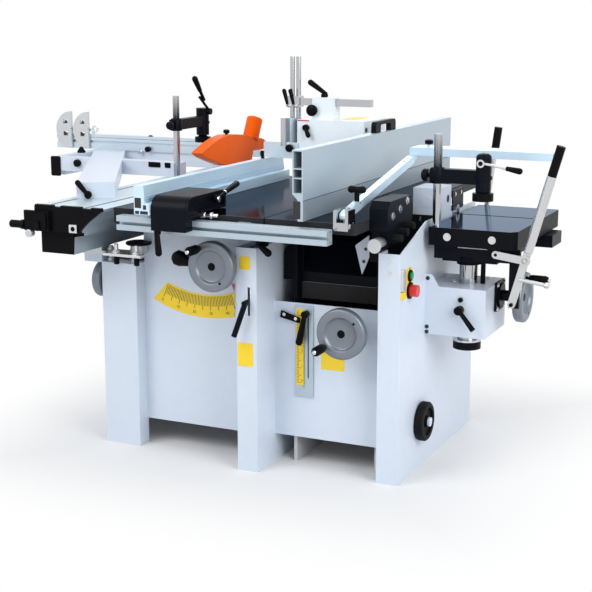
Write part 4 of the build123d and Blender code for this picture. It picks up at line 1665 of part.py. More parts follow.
def push_button(z, head_r, head_t):
    x0 = RIGHT + BUTTON_TRAVEL + FACE_GAP * 2
    head = rod_x(x0, x0 + head_t, BUTTON_Y, z, head_r)
    return head + rod_x(x0 - SHANK_LEN, x0, BUTTON_Y, z, SHANK_R)


def transport_wheel():
    x0 = RIGHT + FACE_GAP
    tyre = rod_x(x0, x0 + ROLL_T, ROLL_Y, ROLL_Z, ROLL_R)
    tyre = chamfer(tyre.edges().filter_by(GeomType.CIRCLE), ROLL_T / 6)
    dish = rod_x(x0 + ROLL_T - ROLL_DISH_D, x0 + ROLL_T + 1, ROLL_Y, ROLL_Z, ROLL_DISH_R)
    dish -= rod_x(x0, x0 + ROLL_T + 2, ROLL_Y, ROLL_Z, ROLL_HUB_R)
    return tyre - dish - rod_x(x0 - 1, x0 + ROLL_T + 1, ROLL_Y, ROLL_Z, ROLL_AXLE_R + SHAFT_GAP)


def feed_lever():
    """The feed lever: a hub on a pin inside the leg, a bar out through the slot and a drooping handle."""
    z = FEED_SLOT_Z + FEED_SLOT_H / 2
    pivot_y = MID_LEG_Y + FEED_PIVOT_IN
    out_y = MID_LEG_Y - FEED_LEVER_OUT
    half = FEED_SLOT_W / 2 - FACE_GAP
    lever = rod_x(FEED_SLOT_X - FEED_HUB_R, FEED_SLOT_X + FEED_HUB_R, pivot_y, z, FEED_HUB_R)
    lever += rod_y(FEED_SLOT_X, out_y, pivot_y, z, half)
    lever += rod_y(FEED_SLOT_X, out_y, MID_LEG_Y - FEED_LEVER_R, z, FEED_LEVER_R)
    tip = (FEED_SLOT_X - FEED_LEVER_LEN / 3, out_y, z - FEED_LEVER_LEN)
    lever += bar_between((FEED_SLOT_X, out_y + FEED_LEVER_R, z), tip, FEED_LEVER_R)
    return lever - rod_x(FEED_SLOT_X - 2 * FEED_HUB_R, FEED_SLOT_X + 2 * FEED_HUB_R, pivot_y, z,
                         FEED_PIN_R + SHAFT_GAP)


NODES = {
    "left_side": left_side(),
    "partition": partition(),
    "right_side": right_side(),
    "sheet_panels": sheet_panels(),
    "saw_table": saw_table(),
    "rip_rail": rip_rail(),
    "rip_carrier": rip_carrier(),
    "rip_fence": rip_fence(),
    "rip_lock_lever": rip_lock_lever(),
    "saw_trunnion": saw_trunnion(),
    "arbor_carriage": arbor_carriage(),
    "saw_motor": saw_motor(),
    "saw_belt": saw_belt(),
    "riving_knife": riving_knife(),
    "blade_guard": blade_guard(),
    "saw_blade": saw_blade(),
    "saw_arbor": saw_arbor(),
    "saw_handwheel": saw_handwheel(),
    "slide_beam": slide_beam(),
    "beam_brackets": beam_brackets(),
    "sliding_table": sliding_table(),
    "crosscut_frame": crosscut_frame(),
    "crosscut_fence": crosscut_fence(),
    "flip_stop_outer": flip_stop(STOP_X[0]),
    "flip_stop_inner": flip_stop(STOP_X[1]),
    "clamp_post": clamp_post(),
    "clamp_lever": clamp_lever(),
    "planer_frame": planer_frame(),
    "planer_tables": planer_tables(),
    "cutterblock": cutterblock(),
    "feed_roller_front": feed_roller(-1),
    "feed_roller_rear": feed_roller(1),
    "thicknesser_table": thicknesser_table(),
    "chip_hood": chip_hood(),
    "planer_motor": planer_motor(),
    "planer_handwheel": planer_handwheel(),
    "planer_fence": planer_fence(),
    "guard_carrier": guard_carrier(),
    "guard_arm": guard_arm(),
    "bridge_guard": bridge_guard(),
    "spindle_quill": spindle_quill(),
    "spindle": spindle(),
    "spindle_handwheel": spindle_handwheel(),
    "moulder_hood": moulder_hood(),
    "moulder_bars": moulder_bars(),
    "mortise_bracket": mortise_bracket(),
    "mortise_column": mortise_column(),
    "mortise_saddle": mortise_saddle(),
    "mortise_table": mortise_table(),
    "plunge_lever": plunge_lever(),
    "plunge_link": plunge_link(),
    "cross_lever": cross_lever(),
    "mortise_handwheel": mortise_handwheel(),
    "mortise_lock_lever": mortise_lock_lever(),
    "hold_down": hold_down(),
    "hold_down_lever": hold_down_lever(),
    "start_button": push_button(START_Z, START_R, START_HEAD),
    "stop_button": push_button(STOP_Z, STOP_R_OUT, STOP_HEAD),
    "transport_wheel": transport_wheel(),
    "feed_lever": feed_lever(),
}

os.makedirs("parts", exist_ok=True)
for name, shape in NODES.items():
    export_step(shape, f"parts/{name}.step")
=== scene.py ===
# Looks of a combination woodworking machine: saw with sliding table, planer and thicknesser,
# spindle moulder and slot mortiser on one white cabinet. Pieces are drawn in mm, +X right, +Y back, +Z up.
import math

import bmesh
import bpy
from mathutils import Matrix, Vector


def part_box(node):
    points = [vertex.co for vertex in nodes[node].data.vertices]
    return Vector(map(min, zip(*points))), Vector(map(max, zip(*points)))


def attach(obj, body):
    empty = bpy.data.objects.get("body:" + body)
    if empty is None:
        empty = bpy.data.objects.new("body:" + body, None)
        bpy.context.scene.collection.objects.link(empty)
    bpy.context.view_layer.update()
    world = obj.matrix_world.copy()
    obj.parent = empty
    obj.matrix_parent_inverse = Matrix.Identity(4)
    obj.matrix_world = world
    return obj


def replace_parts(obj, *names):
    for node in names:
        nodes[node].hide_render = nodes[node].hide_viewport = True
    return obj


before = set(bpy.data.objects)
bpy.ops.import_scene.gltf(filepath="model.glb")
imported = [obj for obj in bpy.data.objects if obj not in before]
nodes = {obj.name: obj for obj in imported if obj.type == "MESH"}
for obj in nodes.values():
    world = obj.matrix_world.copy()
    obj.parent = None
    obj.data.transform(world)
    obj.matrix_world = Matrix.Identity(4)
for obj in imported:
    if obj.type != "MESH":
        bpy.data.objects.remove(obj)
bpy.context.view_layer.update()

# Cabinet: folded and welded sheet steel, powder coated white all over. The two front panels
# are set back between the legs, small screws hold the saw's, and the rear is one vented sheet.

MM = 0.001


def plug(tree, node, inputs):
    """Fills a node's inputs: linked where the value is a socket, set where it is plain."""
    for name, value in inputs.items():
        if isinstance(value, bpy.types.NodeSocket):
            tree.links.new(value, node.inputs[name])
        else:
            node.inputs[name].default_value = value


def added(tree, kind, inputs=None, **settings):
    """A new node with its settings and inputs."""
    node = tree.nodes.new(kind)
    for name, value in settings.items():
        setattr(node, name, value)
    plug(tree, node, inputs or {})
    return node


def maths(tree, operation, *terms):
    """The result of a Math node on sockets and plain numbers."""
    return added(tree, "ShaderNodeMath", dict(enumerate(terms)), operation=operation).outputs[0]


def blended(tree, share, first, second):
    """The mix of two colours by a share, each a socket or a plain colour."""
    return added(tree, "ShaderNodeMix", {0: share, 6: first, 7: second}, data_type="RGBA").outputs[2]


def surface_group():
    """Fine grain and broad tone on Object coordinates, shared by every finish."""
    group = bpy.data.node_groups.new("SurfaceGrain", "ShaderNodeTree")
    for name, kind in (("Vector", "NodeSocketVector"), ("Scale", "NodeSocketFloat")):
        group.interface.new_socket(name, in_out="INPUT", socket_type=kind)
    for name in ("Fine", "Broad"):
        group.interface.new_socket(name, in_out="OUTPUT", socket_type="NodeSocketFloat")
    start = added(group, "NodeGroupInput").outputs
    end = added(group, "NodeGroupOutput")
    broad_share = 0.06
    broad_scale = maths(group, "MULTIPLY", start["Scale"], broad_share)
    for name, detail, scale in (("Fine", 3.0, start["Scale"]), ("Broad", 5.0, broad_scale)):
        noise = added(group, "ShaderNodeTexNoise",
                      {"Vector": start["Vector"], "Scale": scale, "Detail": detail})
        plug(group, end, {name: noise.outputs["Fac"]})
    return group


GRAIN = surface_group()


def grain(tree, scale, stretch):
    """The shared grain at a scale, drawn out along an axis."""
    place = added(tree, "ShaderNodeTexCoord").outputs["Object"]
    drawn = added(tree, "ShaderNodeMapping", {"Vector": place, "Scale": stretch}).outputs["Vector"]
    return added(tree, "ShaderNodeGroup", {"Vector": drawn, "Scale": scale}, node_tree=GRAIN).outputs


def finish(name, colour, rough, metal=0.0, scale=300.0, stretch=(1, 1, 1), tone=0.10, relief=0.05, coat=0.0,
           spec=0.5):
    """A finish whose tone, gloss and relief follow the grain."""
    made = bpy.data.materials.new(name)
    made.use_nodes = True
    tree = made.node_tree
    surface = grain(tree, scale, stretch)
    dark = (*[c * (1 - tone) for c in colour], 1)
    pale = (*[min(1, c * (1 + tone / 2)) for c in colour], 1)
    gloss = added(tree, "ShaderNodeMapRange",
                  {"Value": surface["Fine"], "To Min": rough * 0.8, "To Max": min(1, rough * 1.2)})
    bump = added(tree, "ShaderNodeBump", {"Height": surface["Fine"], "Strength": relief, "Distance": MM})
    plug(tree, tree.nodes["Principled BSDF"],
         {"Base Color": blended(tree, surface["Broad"], dark, pale), "Metallic": metal, "Coat Weight": coat,
          "Specular IOR Level": spec, "Roughness": gloss.outputs["Result"], "Normal": bump.outputs["Normal"]})
    return made


def coat_nodes(material, *names):
    """Puts one finish on whole CAD nodes."""
    for name in names:
        mesh = nodes[name].data
        mesh.materials.clear()
        mesh.materials.append(material)


def laid(axis, a, b, t):
    """The point at a and b in the plane across an axis, and at t along it."""
    return {"x": (t, a, b), "y": (a, t, b), "z": (a, b, t)}[axis]


def sawn(mesh, outline, axis, low, high, slot=0):
    """A flat piece cut to an outline in the plane across an axis, from low to high along it."""
    ends = [[mesh.verts.new(laid(axis, a, b, t)) for a, b in outline] for t in (low, high)]
    faces = [mesh.faces.new(end) for end in ends]
    for i in range(len(outline)):
        faces.append(mesh.faces.new((ends[0][i - 1], ends[0][i], ends[1][i], ends[1][i - 1])))
    for face in faces:
        face.material_index = slot


def arc(middle, radius, start, end, steps):
    """Points on an arc in a plane, angles in degrees from the first axis."""
    angles = [math.radians(start + (end - start) * k / steps) for k in range(steps + 1)]
    return [(middle[0] + radius * math.cos(a), middle[1] + radius * math.sin(a)) for a in angles]


def rounded(low, high, radius):
    """A rectangle with round corners."""
    (a0, b0), (a1, b1) = low, high
    corners = ((a1 - radius, b0 + radius), (a1 - radius, b1 - radius), (a0 + radius, b1 - radius),
               (a0 + radius, b0 + radius))
    return [point for k, corner in enumerate(corners)
            for point in arc(corner, radius, 90 * k - 90, 90 * k, 4)]


def stood(name, data):
    """Puts some data in the scene as an object."""
    made = bpy.data.objects.new(name, data)
    bpy.context.scene.collection.objects.link(made)
    return made


def piece(name, mesh, materials, body, edge=0.0):
    """Makes a piece of a mesh in mm: outward faces, crisp edges, a fine bevel, riding on a body."""
    bmesh.ops.recalc_face_normals(mesh, faces=mesh.faces)
    bmesh.ops.scale(mesh, vec=(MM, MM, MM), verts=mesh.verts)
    for face in mesh.faces:
        face.smooth = True
    crisp = math.radians(38)
    for line in mesh.edges:
        line.smooth = line.calc_face_angle(0.0) < crisp
    data = bpy.data.meshes.new(name)
    mesh.to_mesh(data)
    mesh.free()
    for material in materials:
        data.materials.append(material)
    made = stood(name, data)
    if edge:
        bevel = made.modifiers.new("edges", "BEVEL")
        bevel.width = edge * MM
        bevel.segments = 2
        bevel.limit_method = "ANGLE"
        bevel.angle_limit = math.radians(45)
    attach(made, body)
    return made


def grown(name, body, spots, tree, inputs, layers):
    """Runs a node tree on points that carry layers of values, and keeps the result as a plain mesh."""
    data = bpy.data.meshes.new(name)
    data.from_pydata([Vector(spot) * MM for spot in spots], [], [])
    for title, values in layers.items():
        stored = data.attributes.new(title, "FLOAT_VECTOR", "POINT")
        stored.data.foreach_set("vector", [number for value in values for number in value])
    made = stood(name, data)
    modifier = made.modifiers.new("grow", "NODES")
    modifier.node_group = tree
    for item in tree.interface.items_tree:
        if item.in_out == "INPUT" and item.name in inputs:
            modifier[item.identifier] = inputs[item.name]
    graph = bpy.context.evaluated_depsgraph_get()
    result = bpy.data.meshes.new_from_object(made.evaluated_get(graph), depsgraph=graph)
    made.modifiers.remove(modifier)
    made.data = result
    result.name = name
    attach(made, body)


def repeat_tree(name, sizes):
    """A node tree with named sizes and a material, its points, and the end that makes its copies real."""
    tree = bpy.data.node_groups.new(name, "GeometryNodeTree")
    for size, kind in (("Geometry", "NodeSocketGeometry"), *sizes, ("Material", "NodeSocketMaterial")):
        tree.interface.new_socket(size, in_out="INPUT", socket_type=kind)
    tree.interface.new_socket("Geometry", in_out="OUTPUT", socket_type="NodeSocketGeometry")
    start = added(tree, "NodeGroupInput").outputs
    copies = added(tree, "GeometryNodeInstanceOnPoints", {"Points": start["Geometry"]})
    real = added(tree, "GeometryNodeRealizeInstances", {"Geometry": copies.outputs["Instances"]})
    paint = added(tree, "GeometryNodeSetMaterial",
                  {"Geometry": real.outputs["Geometry"], "Material": start["Material"]})
    added(tree, "NodeGroupOutput", {"Geometry": paint.outputs["Geometry"]})
    return tree, start, copies


def layer(tree, name):
    """One layer of values on the points."""
    node = added(tree, "GeometryNodeInputNamedAttribute", {"Name": name}, data_type="FLOAT_VECTOR")
    return node.outputs["Attribute"]


def bolt_tree():
    """Bolt heads standing on washers, turned the way that each point's layer says."""
    sizes = (("Radius", "NodeSocketFloat"), ("Height", "NodeSocketFloat"), ("Sides", "NodeSocketInt"))
    tree, start, copies = repeat_tree("BoltHeads", sizes)
    join = added(tree, "GeometryNodeJoinGeometry")
    for wide, tall, sides in ((1.0, 1.0, start["Sides"]), (1.4, 0.3, 16)):
        head = added(tree, "GeometryNodeMeshCylinder",
                     {"Radius": maths(tree, "MULTIPLY", start["Radius"], wide), "Vertices": sides,
                      "Depth": maths(tree, "MULTIPLY", start["Height"], tall * 2)})
        plug(tree, join, {"Geometry": head.outputs["Mesh"]})
    face = added(tree, "FunctionNodeAlignRotationToVector", {"Vector": layer(tree, "way")}, axis="Z")
    plug(tree, copies, {"Instance": join.outputs["Geometry"], "Rotation": face.outputs["Rotation"]})
    return tree


BOLT_HEADS = bolt_tree()


def bolts(name, body, spots, radius, height, material, sides=6):
    """Bolt heads on one body, from (place, way that the head faces) pairs."""
    grown(name, body, [spot for spot, way in spots], BOLT_HEADS,
          {"Radius": radius * MM, "Height": height * MM, "Sides": sides, "Material": material},
          {"way": [way for spot, way in spots]})


FRONTWARD = (0, -1, 0)
RIGHTWARD = (1, 0, 0)
UPWARD = (0, 0, 1)
# Painted shade: the blue-grey tone of this white paint stands for the bluish shade on the white cabinet.
WHITE_COAT_SHADE_TINTED = finish("white powder coat with painted bluish shade", (0.63, 0.70, 0.80), 0.34, scale=420, tone=0.04, relief=0.04,
                    spec=0.4)
BRIGHT_STEEL = finish("bright turned steel", (0.70, 0.71, 0.73), 0.2, metal=1.0, scale=700,
                      stretch=(1, 1, 0.03), tone=0.12, relief=0.03)
YELLOW_PLATE = finish("yellow enamel plate", (0.88, 0.62, 0.02), 0.4, tone=0.05, relief=0.02)
coat_nodes(WHITE_COAT_SHADE_TINTED, "left_side", "partition", "right_side", "sheet_panels", "mortise_bracket")

wall_x = 540.0
leg_front = -380.0
saw_panel_y = -325.0
planer_panel_y = -315.0
column_front = -450.0
bolts("leg_screws", "cabinet", [((505, leg_front, z), FRONTWARD) for z in (721, 684)], 5, 2, BRIGHT_STEEL, 12)
panel_spots = [((x, saw_panel_y, z), FRONTWARD) for x in (-385, -10) for z in (140, 440)]
bolts("panel_screws", "cabinet", panel_spots, 4, 1.5, WHITE_COAT_SHADE_TINTED, 12)
plates = bmesh.new()
plate_t = 1.2
for x0, x1, z0, z1, y in ((15, 69, 355, 432, column_front), (25, 61, 672, 714, column_front),
                          (249, 330, 336, 400, planer_panel_y)):
    sawn(plates, rounded((x0, z0), (x1, z1), 4), "y", y - plate_t, y)
piece("bare_plates", plates, [YELLOW_PLATE], "cabinet")

# Transport wheel: a moulded rubber wheel on a steel axle in the right wall, held by a turned nut.
# The saw's belt is of the same black rubber.
RUBBER = finish("black rubber", (0.008, 0.008, 0.009), 0.6, scale=500, tone=0.2, relief=0.15, spec=0.1)
coat_nodes(RUBBER, "saw_belt", "transport_wheel")

# Tilt scale: a yellow printed plate on the saw's front panel, with black ticks and plain numbers.
# A small red pointer hangs over it, and a moulded knob beside it locks the tilt.


def turned(mesh, profile, start, way, slot=0, steps=28, ring=False):
    """A turned piece from (distance along way, radius) pairs; a ring's profile closes on itself."""
    way = Vector(way).normalized()
    side = way.orthogonal().normalized()
    other = way.cross(side)
    angles = [k * math.tau / steps for k in range(steps)]
    spokes = [side * math.cos(a) + other * math.sin(a) for a in angles]
    rings = []
    for along, radius in profile:
        middle = Vector(start) + way * along
        used = spokes if radius > 0 else spokes[:1]
        rings.append([mesh.verts.new(middle + spoke * radius) for spoke in used])
    pairs = list(zip(rings, rings[1:]))
    if ring:
        pairs.append((rings[-1], rings[0]))
    for low, high in pairs:
        for k in range(steps):
            corners = dict.fromkeys((low[k % len(low)], low[(k + 1) % len(low)], high[(k + 1) % len(high)],
                                     high[k % len(high)]))
            if len(corners) > 2:
                mesh.faces.new(tuple(corners)).material_index = slot
    if not ring:
        for end in (rings[0], rings[-1]):
            if len(end) > 1:
                mesh.faces.new(end).material_index = slot


def rod(mesh, start, end, radius, slot=0):
    """A round bar with broken edges."""
    way = Vector(end) - Vector(start)
    edge = radius * 0.15
    far = way.length
    profile = ((0, radius - edge), (edge, radius), (far - edge, radius), (far, radius - edge))
    turned(mesh, profile, start, way, slot, 20)


def tick_tree():
    """Thin bars whose length and turn are layers on their points."""
    sizes = (("Width", "NodeSocketFloat"), ("Depth", "NodeSocketFloat"))
    tree, start, copies = repeat_tree("ScaleTicks", sizes)
    size = added(tree, "ShaderNodeCombineXYZ", {"X": start["Width"], "Y": start["Depth"], "Z": 1.0})
    bar = added(tree, "GeometryNodeMeshCube", {"Size": size.outputs["Vector"]})
    stand = added(tree, "GeometryNodeTransform",
                  {"Geometry": bar.outputs["Mesh"], "Translation": (0, 0, 0.5)})
    turn = added(tree, "FunctionNodeEulerToRotation", {0: layer(tree, "turn")})
    plug(tree, copies, {"Instance": stand.outputs["Geometry"], "Rotation": turn.outputs[0],
                        "Scale": layer(tree, "reach")})
    return tree


SCALE_TICKS = tick_tree()


def ticks(name, body, marks, width, material, depth=0.3):
    """Printed ticks from (place, length, turn about each axis) rows."""
    grown(name, body, [spot for spot, reach, turn in marks], SCALE_TICKS,
          {"Width": width * MM, "Depth": depth * MM, "Material": material},
          {"reach": [(1, 1, reach * MM) for spot, reach, turn in marks],
           "turn": [turn for spot, reach, turn in marks]})


def numerals(name, body, marks, height, material):
    """Plain printed numbers that face the front, from (text, middle, turn about Y) rows."""
    mesh = bmesh.new()
    for text, middle, turn in marks:
        curve = bpy.data.curves.new(name, "FONT")
        curve.body = text
        curve.size = height
        curve.extrude = 0.2
        curve.align_x = "CENTER"
        curve.align_y = "CENTER"
        letter = bpy.data.objects.new(name, curve)
        flat = bpy.data.meshes.new_from_object(letter)
        upright = Matrix.Rotation(math.pi / 2, 4, "X")
        flat.transform(Matrix.Translation(middle) @ Matrix.Rotation(turn, 4, "Y") @ upright)
        mesh.from_mesh(flat)
        bpy.data.objects.remove(letter)
        bpy.data.curves.remove(curve)
        bpy.data.meshes.remove(flat)
    piece(name, mesh, [material], body)


BLACK_PLASTIC = finish("black moulded plastic", (0.004, 0.004, 0.005), 0.36, scale=800, tone=0.2, relief=0.06,
                       spec=0.06)
# Black for print, also used for painted shade in hollows and a painted shadow line along a step.
INK_AND_SHADE = finish("black print and painted shade", (0.012, 0.012, 0.012), 0.5, relief=0.02)
RED_PAINT = finish("red enamel", (0.70, 0.02, 0.015), 0.35, tone=0.08, relief=0.02, coat=0.3)
scale_middle = (-170.0, 905.0)
scale_inner = 358.0
scale_outer = 437.0
scale_from, scale_to = -23.8, 18.0
end_cut = 3.5
tilt_plate = bmesh.new()
inner_edge = arc(scale_middle, scale_inner, scale_from - 90, scale_to - 90, 24)
outer_edge = arc(scale_middle, scale_outer, scale_to - end_cut - 90, scale_from - end_cut - 90, 24)
sawn(tilt_plate, inner_edge + outer_edge, "y", saw_panel_y - plate_t, saw_panel_y)
piece("tilt_scale", tilt_plate, [YELLOW_PLATE], "cabinet")
tilt_marks = []
tilt_numbers = []
root = Vector((scale_middle[0], saw_panel_y - plate_t, scale_middle[1]))
for step in range(46):
    angle = math.radians(scale_from + 0.8 + 0.86 * step)
    way = Vector((math.sin(angle), 0, -math.cos(angle)))
    tilt_marks.append((root + way * (scale_inner + 5), 34 if step % 5 else 48, (0, math.pi - angle, 0)))
    if step % 10 == 0:
        tilt_numbers.append((str(step), root + way * (scale_inner + 64), -angle))
ticks("tilt_ticks", "cabinet", tilt_marks, 2.0, INK_AND_SHADE)
numerals("tilt_numbers", "cabinet", tilt_numbers, 14, INK_AND_SHADE)
pointer = bmesh.new()
sawn(pointer, [(-69, 592), (-60, 592), (-62, 572)], "y", saw_panel_y - 4, saw_panel_y - plate_t)
piece("tilt_pointer", pointer, [RED_PAINT], "cabinet")
lock_knob = bmesh.new()
rod(lock_knob, (-140, saw_panel_y, 684), (-140, -470, 684), 9)
bulb = ((0, 0), (2, 13), (18, 16), (46, 25), (62, 25), (74, 15), (78, 0))
turned(lock_knob, bulb, (-128, -478, 683), (-1, 0, 0.25))
piece("tilt_lock_knob", lock_knob, [BLACK_PLASTIC], "cabinet")

# Switch: a start button and a stop mushroom on the right wall, each in a black ring on a yellow plate.
# A narrow grey cover with a yellow foot stands in front of them, and two screws hold the plate.
DARK_STEEL = finish("blackened steel", (0.05, 0.05, 0.055), 0.35, metal=0.6, scale=500, tone=0.2)
CAST_ALLOY = finish("cast alloy", (0.60, 0.62, 0.64), 0.38, metal=0.6, scale=380, relief=0.10)
coat_nodes(finish("green push button", (0.02, 0.32, 0.10), 0.35, coat=0.3), "start_button")
coat_nodes(RED_PAINT, "stop_button")
button_y = -300.0
start_z = 667.0
stop_z = 620.0
plate_x = wall_x + 1.5
switch = bmesh.new()
sawn(switch, rounded((-330, 598), (-276, 694), 20), "x", wall_x, plate_x)
for z, inner, outer in ((start_z, 13, 19), (stop_z, 21, 27)):
    bezel = ((0, inner), (0, outer), (4, outer), (6, outer - 2), (6, inner))
    turned(switch, bezel, (plate_x, button_y, z), RIGHTWARD, 1, ring=True)
sawn(switch, rounded((-376, 628), (-351, 696), 4), "x", wall_x, wall_x + 9, 2)
sawn(switch, rounded((-376, 604), (-351, 626), 4), "x", wall_x, wall_x + 9)
piece("switch_plate", switch, [YELLOW_PLATE, BLACK_PLASTIC, CAST_ALLOY], "cabinet")
bolts("switch_screws", "cabinet", [((plate_x, -303, z), RIGHTWARD) for z in (690, 643)], 2, 1, DARK_STEEL, 12)

# Thickness scale: an aluminium strip on the planer's front panel with a yellow printed tape.
# A black pointer on two screws marks the height, and a long black lever clamps the bed.


def coat_zone(name, material, low, high):
    """Puts a second finish on the faces of a CAD node whose middles lie in a box in mm."""
    mesh = nodes[name].data
    mesh.materials.append(material)
    for face in mesh.polygons:
        if all(a * MM <= c <= b * MM for a, c, b in zip(low, face.center, high)):
            face.material_index = len(mesh.materials) - 1


def grip(mesh, start, end, thin, thick):
    """A moulded handle that swells towards its domed end."""
    way = Vector(end) - Vector(start)
    far = way.length
    dome = [(far - thick * (1 - math.sin(a)), thick * math.cos(a)) for a in (0.0, 0.5, 0.9, 1.25)]
    turned(mesh, [(0, thin), (far * 0.4, (thin + thick) / 2), *dome, (far, 0)], start, way, steps=20)


def drawn_section(name, colour, rough=0.36, stretch=(1, 0.02, 1)):
    """Anodised aluminium with fine lines along the way it was drawn."""
    return finish(name, colour, rough, metal=0.45, scale=500, stretch=stretch, tone=0.06, relief=0.04)


ANODISED = drawn_section("anodised section", (0.45, 0.54, 0.61))
coat_zone("sheet_panels", ANODISED, (157, -323, 235), (223, -315.6, 543))
strip_y = -321.0
tape_y = strip_y - 0.6
tape = bmesh.new()
sawn(tape, rounded((162, 275), (189, 531), 2), "y", tape_y, strip_y)
sawn(tape, rounded((203, 300), (207, 505), 1.9), "y", strip_y - 0.4, strip_y, 1)
piece("thickness_tape", tape, [YELLOW_PLATE, INK_AND_SHADE], "cabinet")
lying = (0, math.pi / 2, 0)
tape_marks = [((164, tape_y, 283 + 5 * k), 9 if k % 5 else 17, lying) for k in range(49)]
ticks("thickness_ticks", "cabinet", tape_marks, 1.2, INK_AND_SHADE)
tape_numbers = [(str(k), (183, tape_y, 290 + 50 * k), 0) for k in range(5)]
numerals("thickness_numbers", "cabinet", tape_numbers, 11, INK_AND_SHADE)
pointer_y = strip_y - 8
bed_lock = bmesh.new()
sawn(bed_lock, [(107, 498), (176, 484), (178, 500), (110, 521)], "y", pointer_y, strip_y)
rod(bed_lock, (199, strip_y, 516), (199, strip_y - 22, 516), 12)
grip(bed_lock, (199, strip_y - 16, 516), (179, strip_y - 20, 413), 7, 12)
piece("bed_lock", bed_lock, [BLACK_PLASTIC], "cabinet", 1.0)
pointer_spots = [((x, pointer_y, z), FRONTWARD) for x, z in ((122, 509), (163, 498))]
bolts("pointer_screws", "cabinet", pointer_spots, 4, 2, BRIGHT_STEEL, 12)

# Feed lever and table lever: black handles. The feed lever works in the front column's slot,
# and the table lever is moulded on a block under the planer's infeed table.


def block(mesh, low, high, slot=0):
    """A square-cut block between two corners."""
    (x0, y0, z0), (x1, y1, z1) = low, high
    sawn(mesh, [(x0, y0), (x1, y0), (x1, y1), (x0, y1)], "z", z0, z1, slot)


# Painted sheen: the slight navy in this black stands for the bluish sheen on its tops.
BLACK_COAT_NAVY_SHEEN = finish("black powder coat", (0.004, 0.005, 0.009), 0.34, scale=420, tone=0.2, relief=0.06,
                    spec=0.07)
coat_nodes(BLACK_COAT_NAVY_SHEEN, "feed_lever")
table_lever = bmesh.new()
block(table_lever, (98, -482, 752), (122, -440, 816))
grip(table_lever, (110, -486, 762), (153, -490, 732), 8, 12)
piece("table_lever", table_lever, [BLACK_PLASTIC], "cabinet", 1.5)

# Cast tables: the saw table and the planer's two tables are grey iron. Tops are ground to a bright mirror
# along the feed, sides and undersides are painted dark.


def place_parts(tree):
    """Object coordinates in metres, one socket for each axis."""
    place = added(tree, "ShaderNodeTexCoord").outputs["Object"]
    return added(tree, "ShaderNodeSeparateXYZ", {0: place}).outputs


def source(node, name):
    """What already feeds an input of a node."""
    return node.inputs[name].links[0].from_socket


def ground_casting(name, colour, top_z, mirror, sky_reflection_tint):
    """A dark painted casting whose top face is ground bright along Y; the blue in its mirror colour and
    reflection tint is painted sky reflection.
    """
    made = finish(name, colour, 0.45, scale=260, tone=0.2, relief=0.10, spec=0.1)
    tree = made.node_tree
    shader = tree.nodes["Principled BSDF"]
    skin = 0.0005
    is_top = maths(tree, "GREATER_THAN", place_parts(tree)["Z"], top_z - skin)
    lines = grain(tree, 600, (1, 0.02, 1))
    bright = blended(tree, lines["Fine"], (*[c * 0.92 for c in mirror], 1), (*mirror, 1))
    tone = blended(tree, is_top, source(shader, "Base Color"), bright)
    gloss = added(tree, "ShaderNodeMix", {0: is_top, 2: source(shader, "Roughness"), 3: 0.09})
    plug(tree, shader, {"Base Color": tone, "Metallic": is_top, "Roughness": gloss.outputs[0],
                        "Specular Tint": (*sky_reflection_tint, 1)})
    return made


table_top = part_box("saw_table")[1].z
# Painted reflection: the blue in these mirror colours and reflection tints stands for reflected sky.
GROUND_IRON = ground_casting("ground table iron", (0.030, 0.031, 0.034), table_top, (0.22, 0.235, 0.255),
                             (0.23, 0.25, 0.29))
coat_nodes(GROUND_IRON, "saw_table", "planer_tables")

# Rip fence: a hollow aluminium section on a black cast carrier that slides on a slotted front rail.
# A cam lever locks it, a lever hangs under it, and a printed scale lies on the rail.


def collar(mesh, start, way, inner, outer, tall, slot=0):
    """A plain ring round a bar."""
    turned(mesh, ((0, inner), (0, outer), (tall, outer), (tall, inner)), start, way, slot, ring=True)


def framed(mesh, outer, inner, axis, low, high):
    """A rim between two outlines with as many points, from low to high along an axis."""
    loops = [[mesh.verts.new(laid(axis, a, b, t)) for a, b in points] for points, t in
             ((outer, low), (outer, high), (inner, high), (inner, low))]
    for first, second in zip(loops, loops[1:] + loops[:1]):
        for i in range(len(outer)):
            mesh.faces.new((first[i - 1], first[i], second[i], second[i - 1]))


coat_nodes(ANODISED, "rip_rail")
# Painted light and painted sky reflection: a paler, bluer copy of the anodised section.
SKY_REFLECTION_SECTION = drawn_section("anodised section with painted sky reflection", (0.62, 0.80, 0.94))
coat_nodes(SKY_REFLECTION_SECTION, "rip_fence")
coat_nodes(BLACK_PLASTIC, "rip_lock_lever")
fence_low, fence_high = [Vector(corner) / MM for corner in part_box("rip_fence")]
ridges = bmesh.new()
ridge_x = fence_low.x + 40
for z in (892, 899, 906):
    lean = (z - 889) * 0.1
    block(ridges, (ridge_x - 7 - lean, fence_low.y + 1, z), (ridge_x - 4 - lean, fence_high.y - 1, z + 1.6))
for x in (fence_low.x + 42, fence_low.x + 48, fence_high.x - 2):
    block(ridges, (x - 0.8, fence_low.y + 1, 884), (x + 0.8, fence_high.y - 1, 886))
end_y = fence_low.y - 1
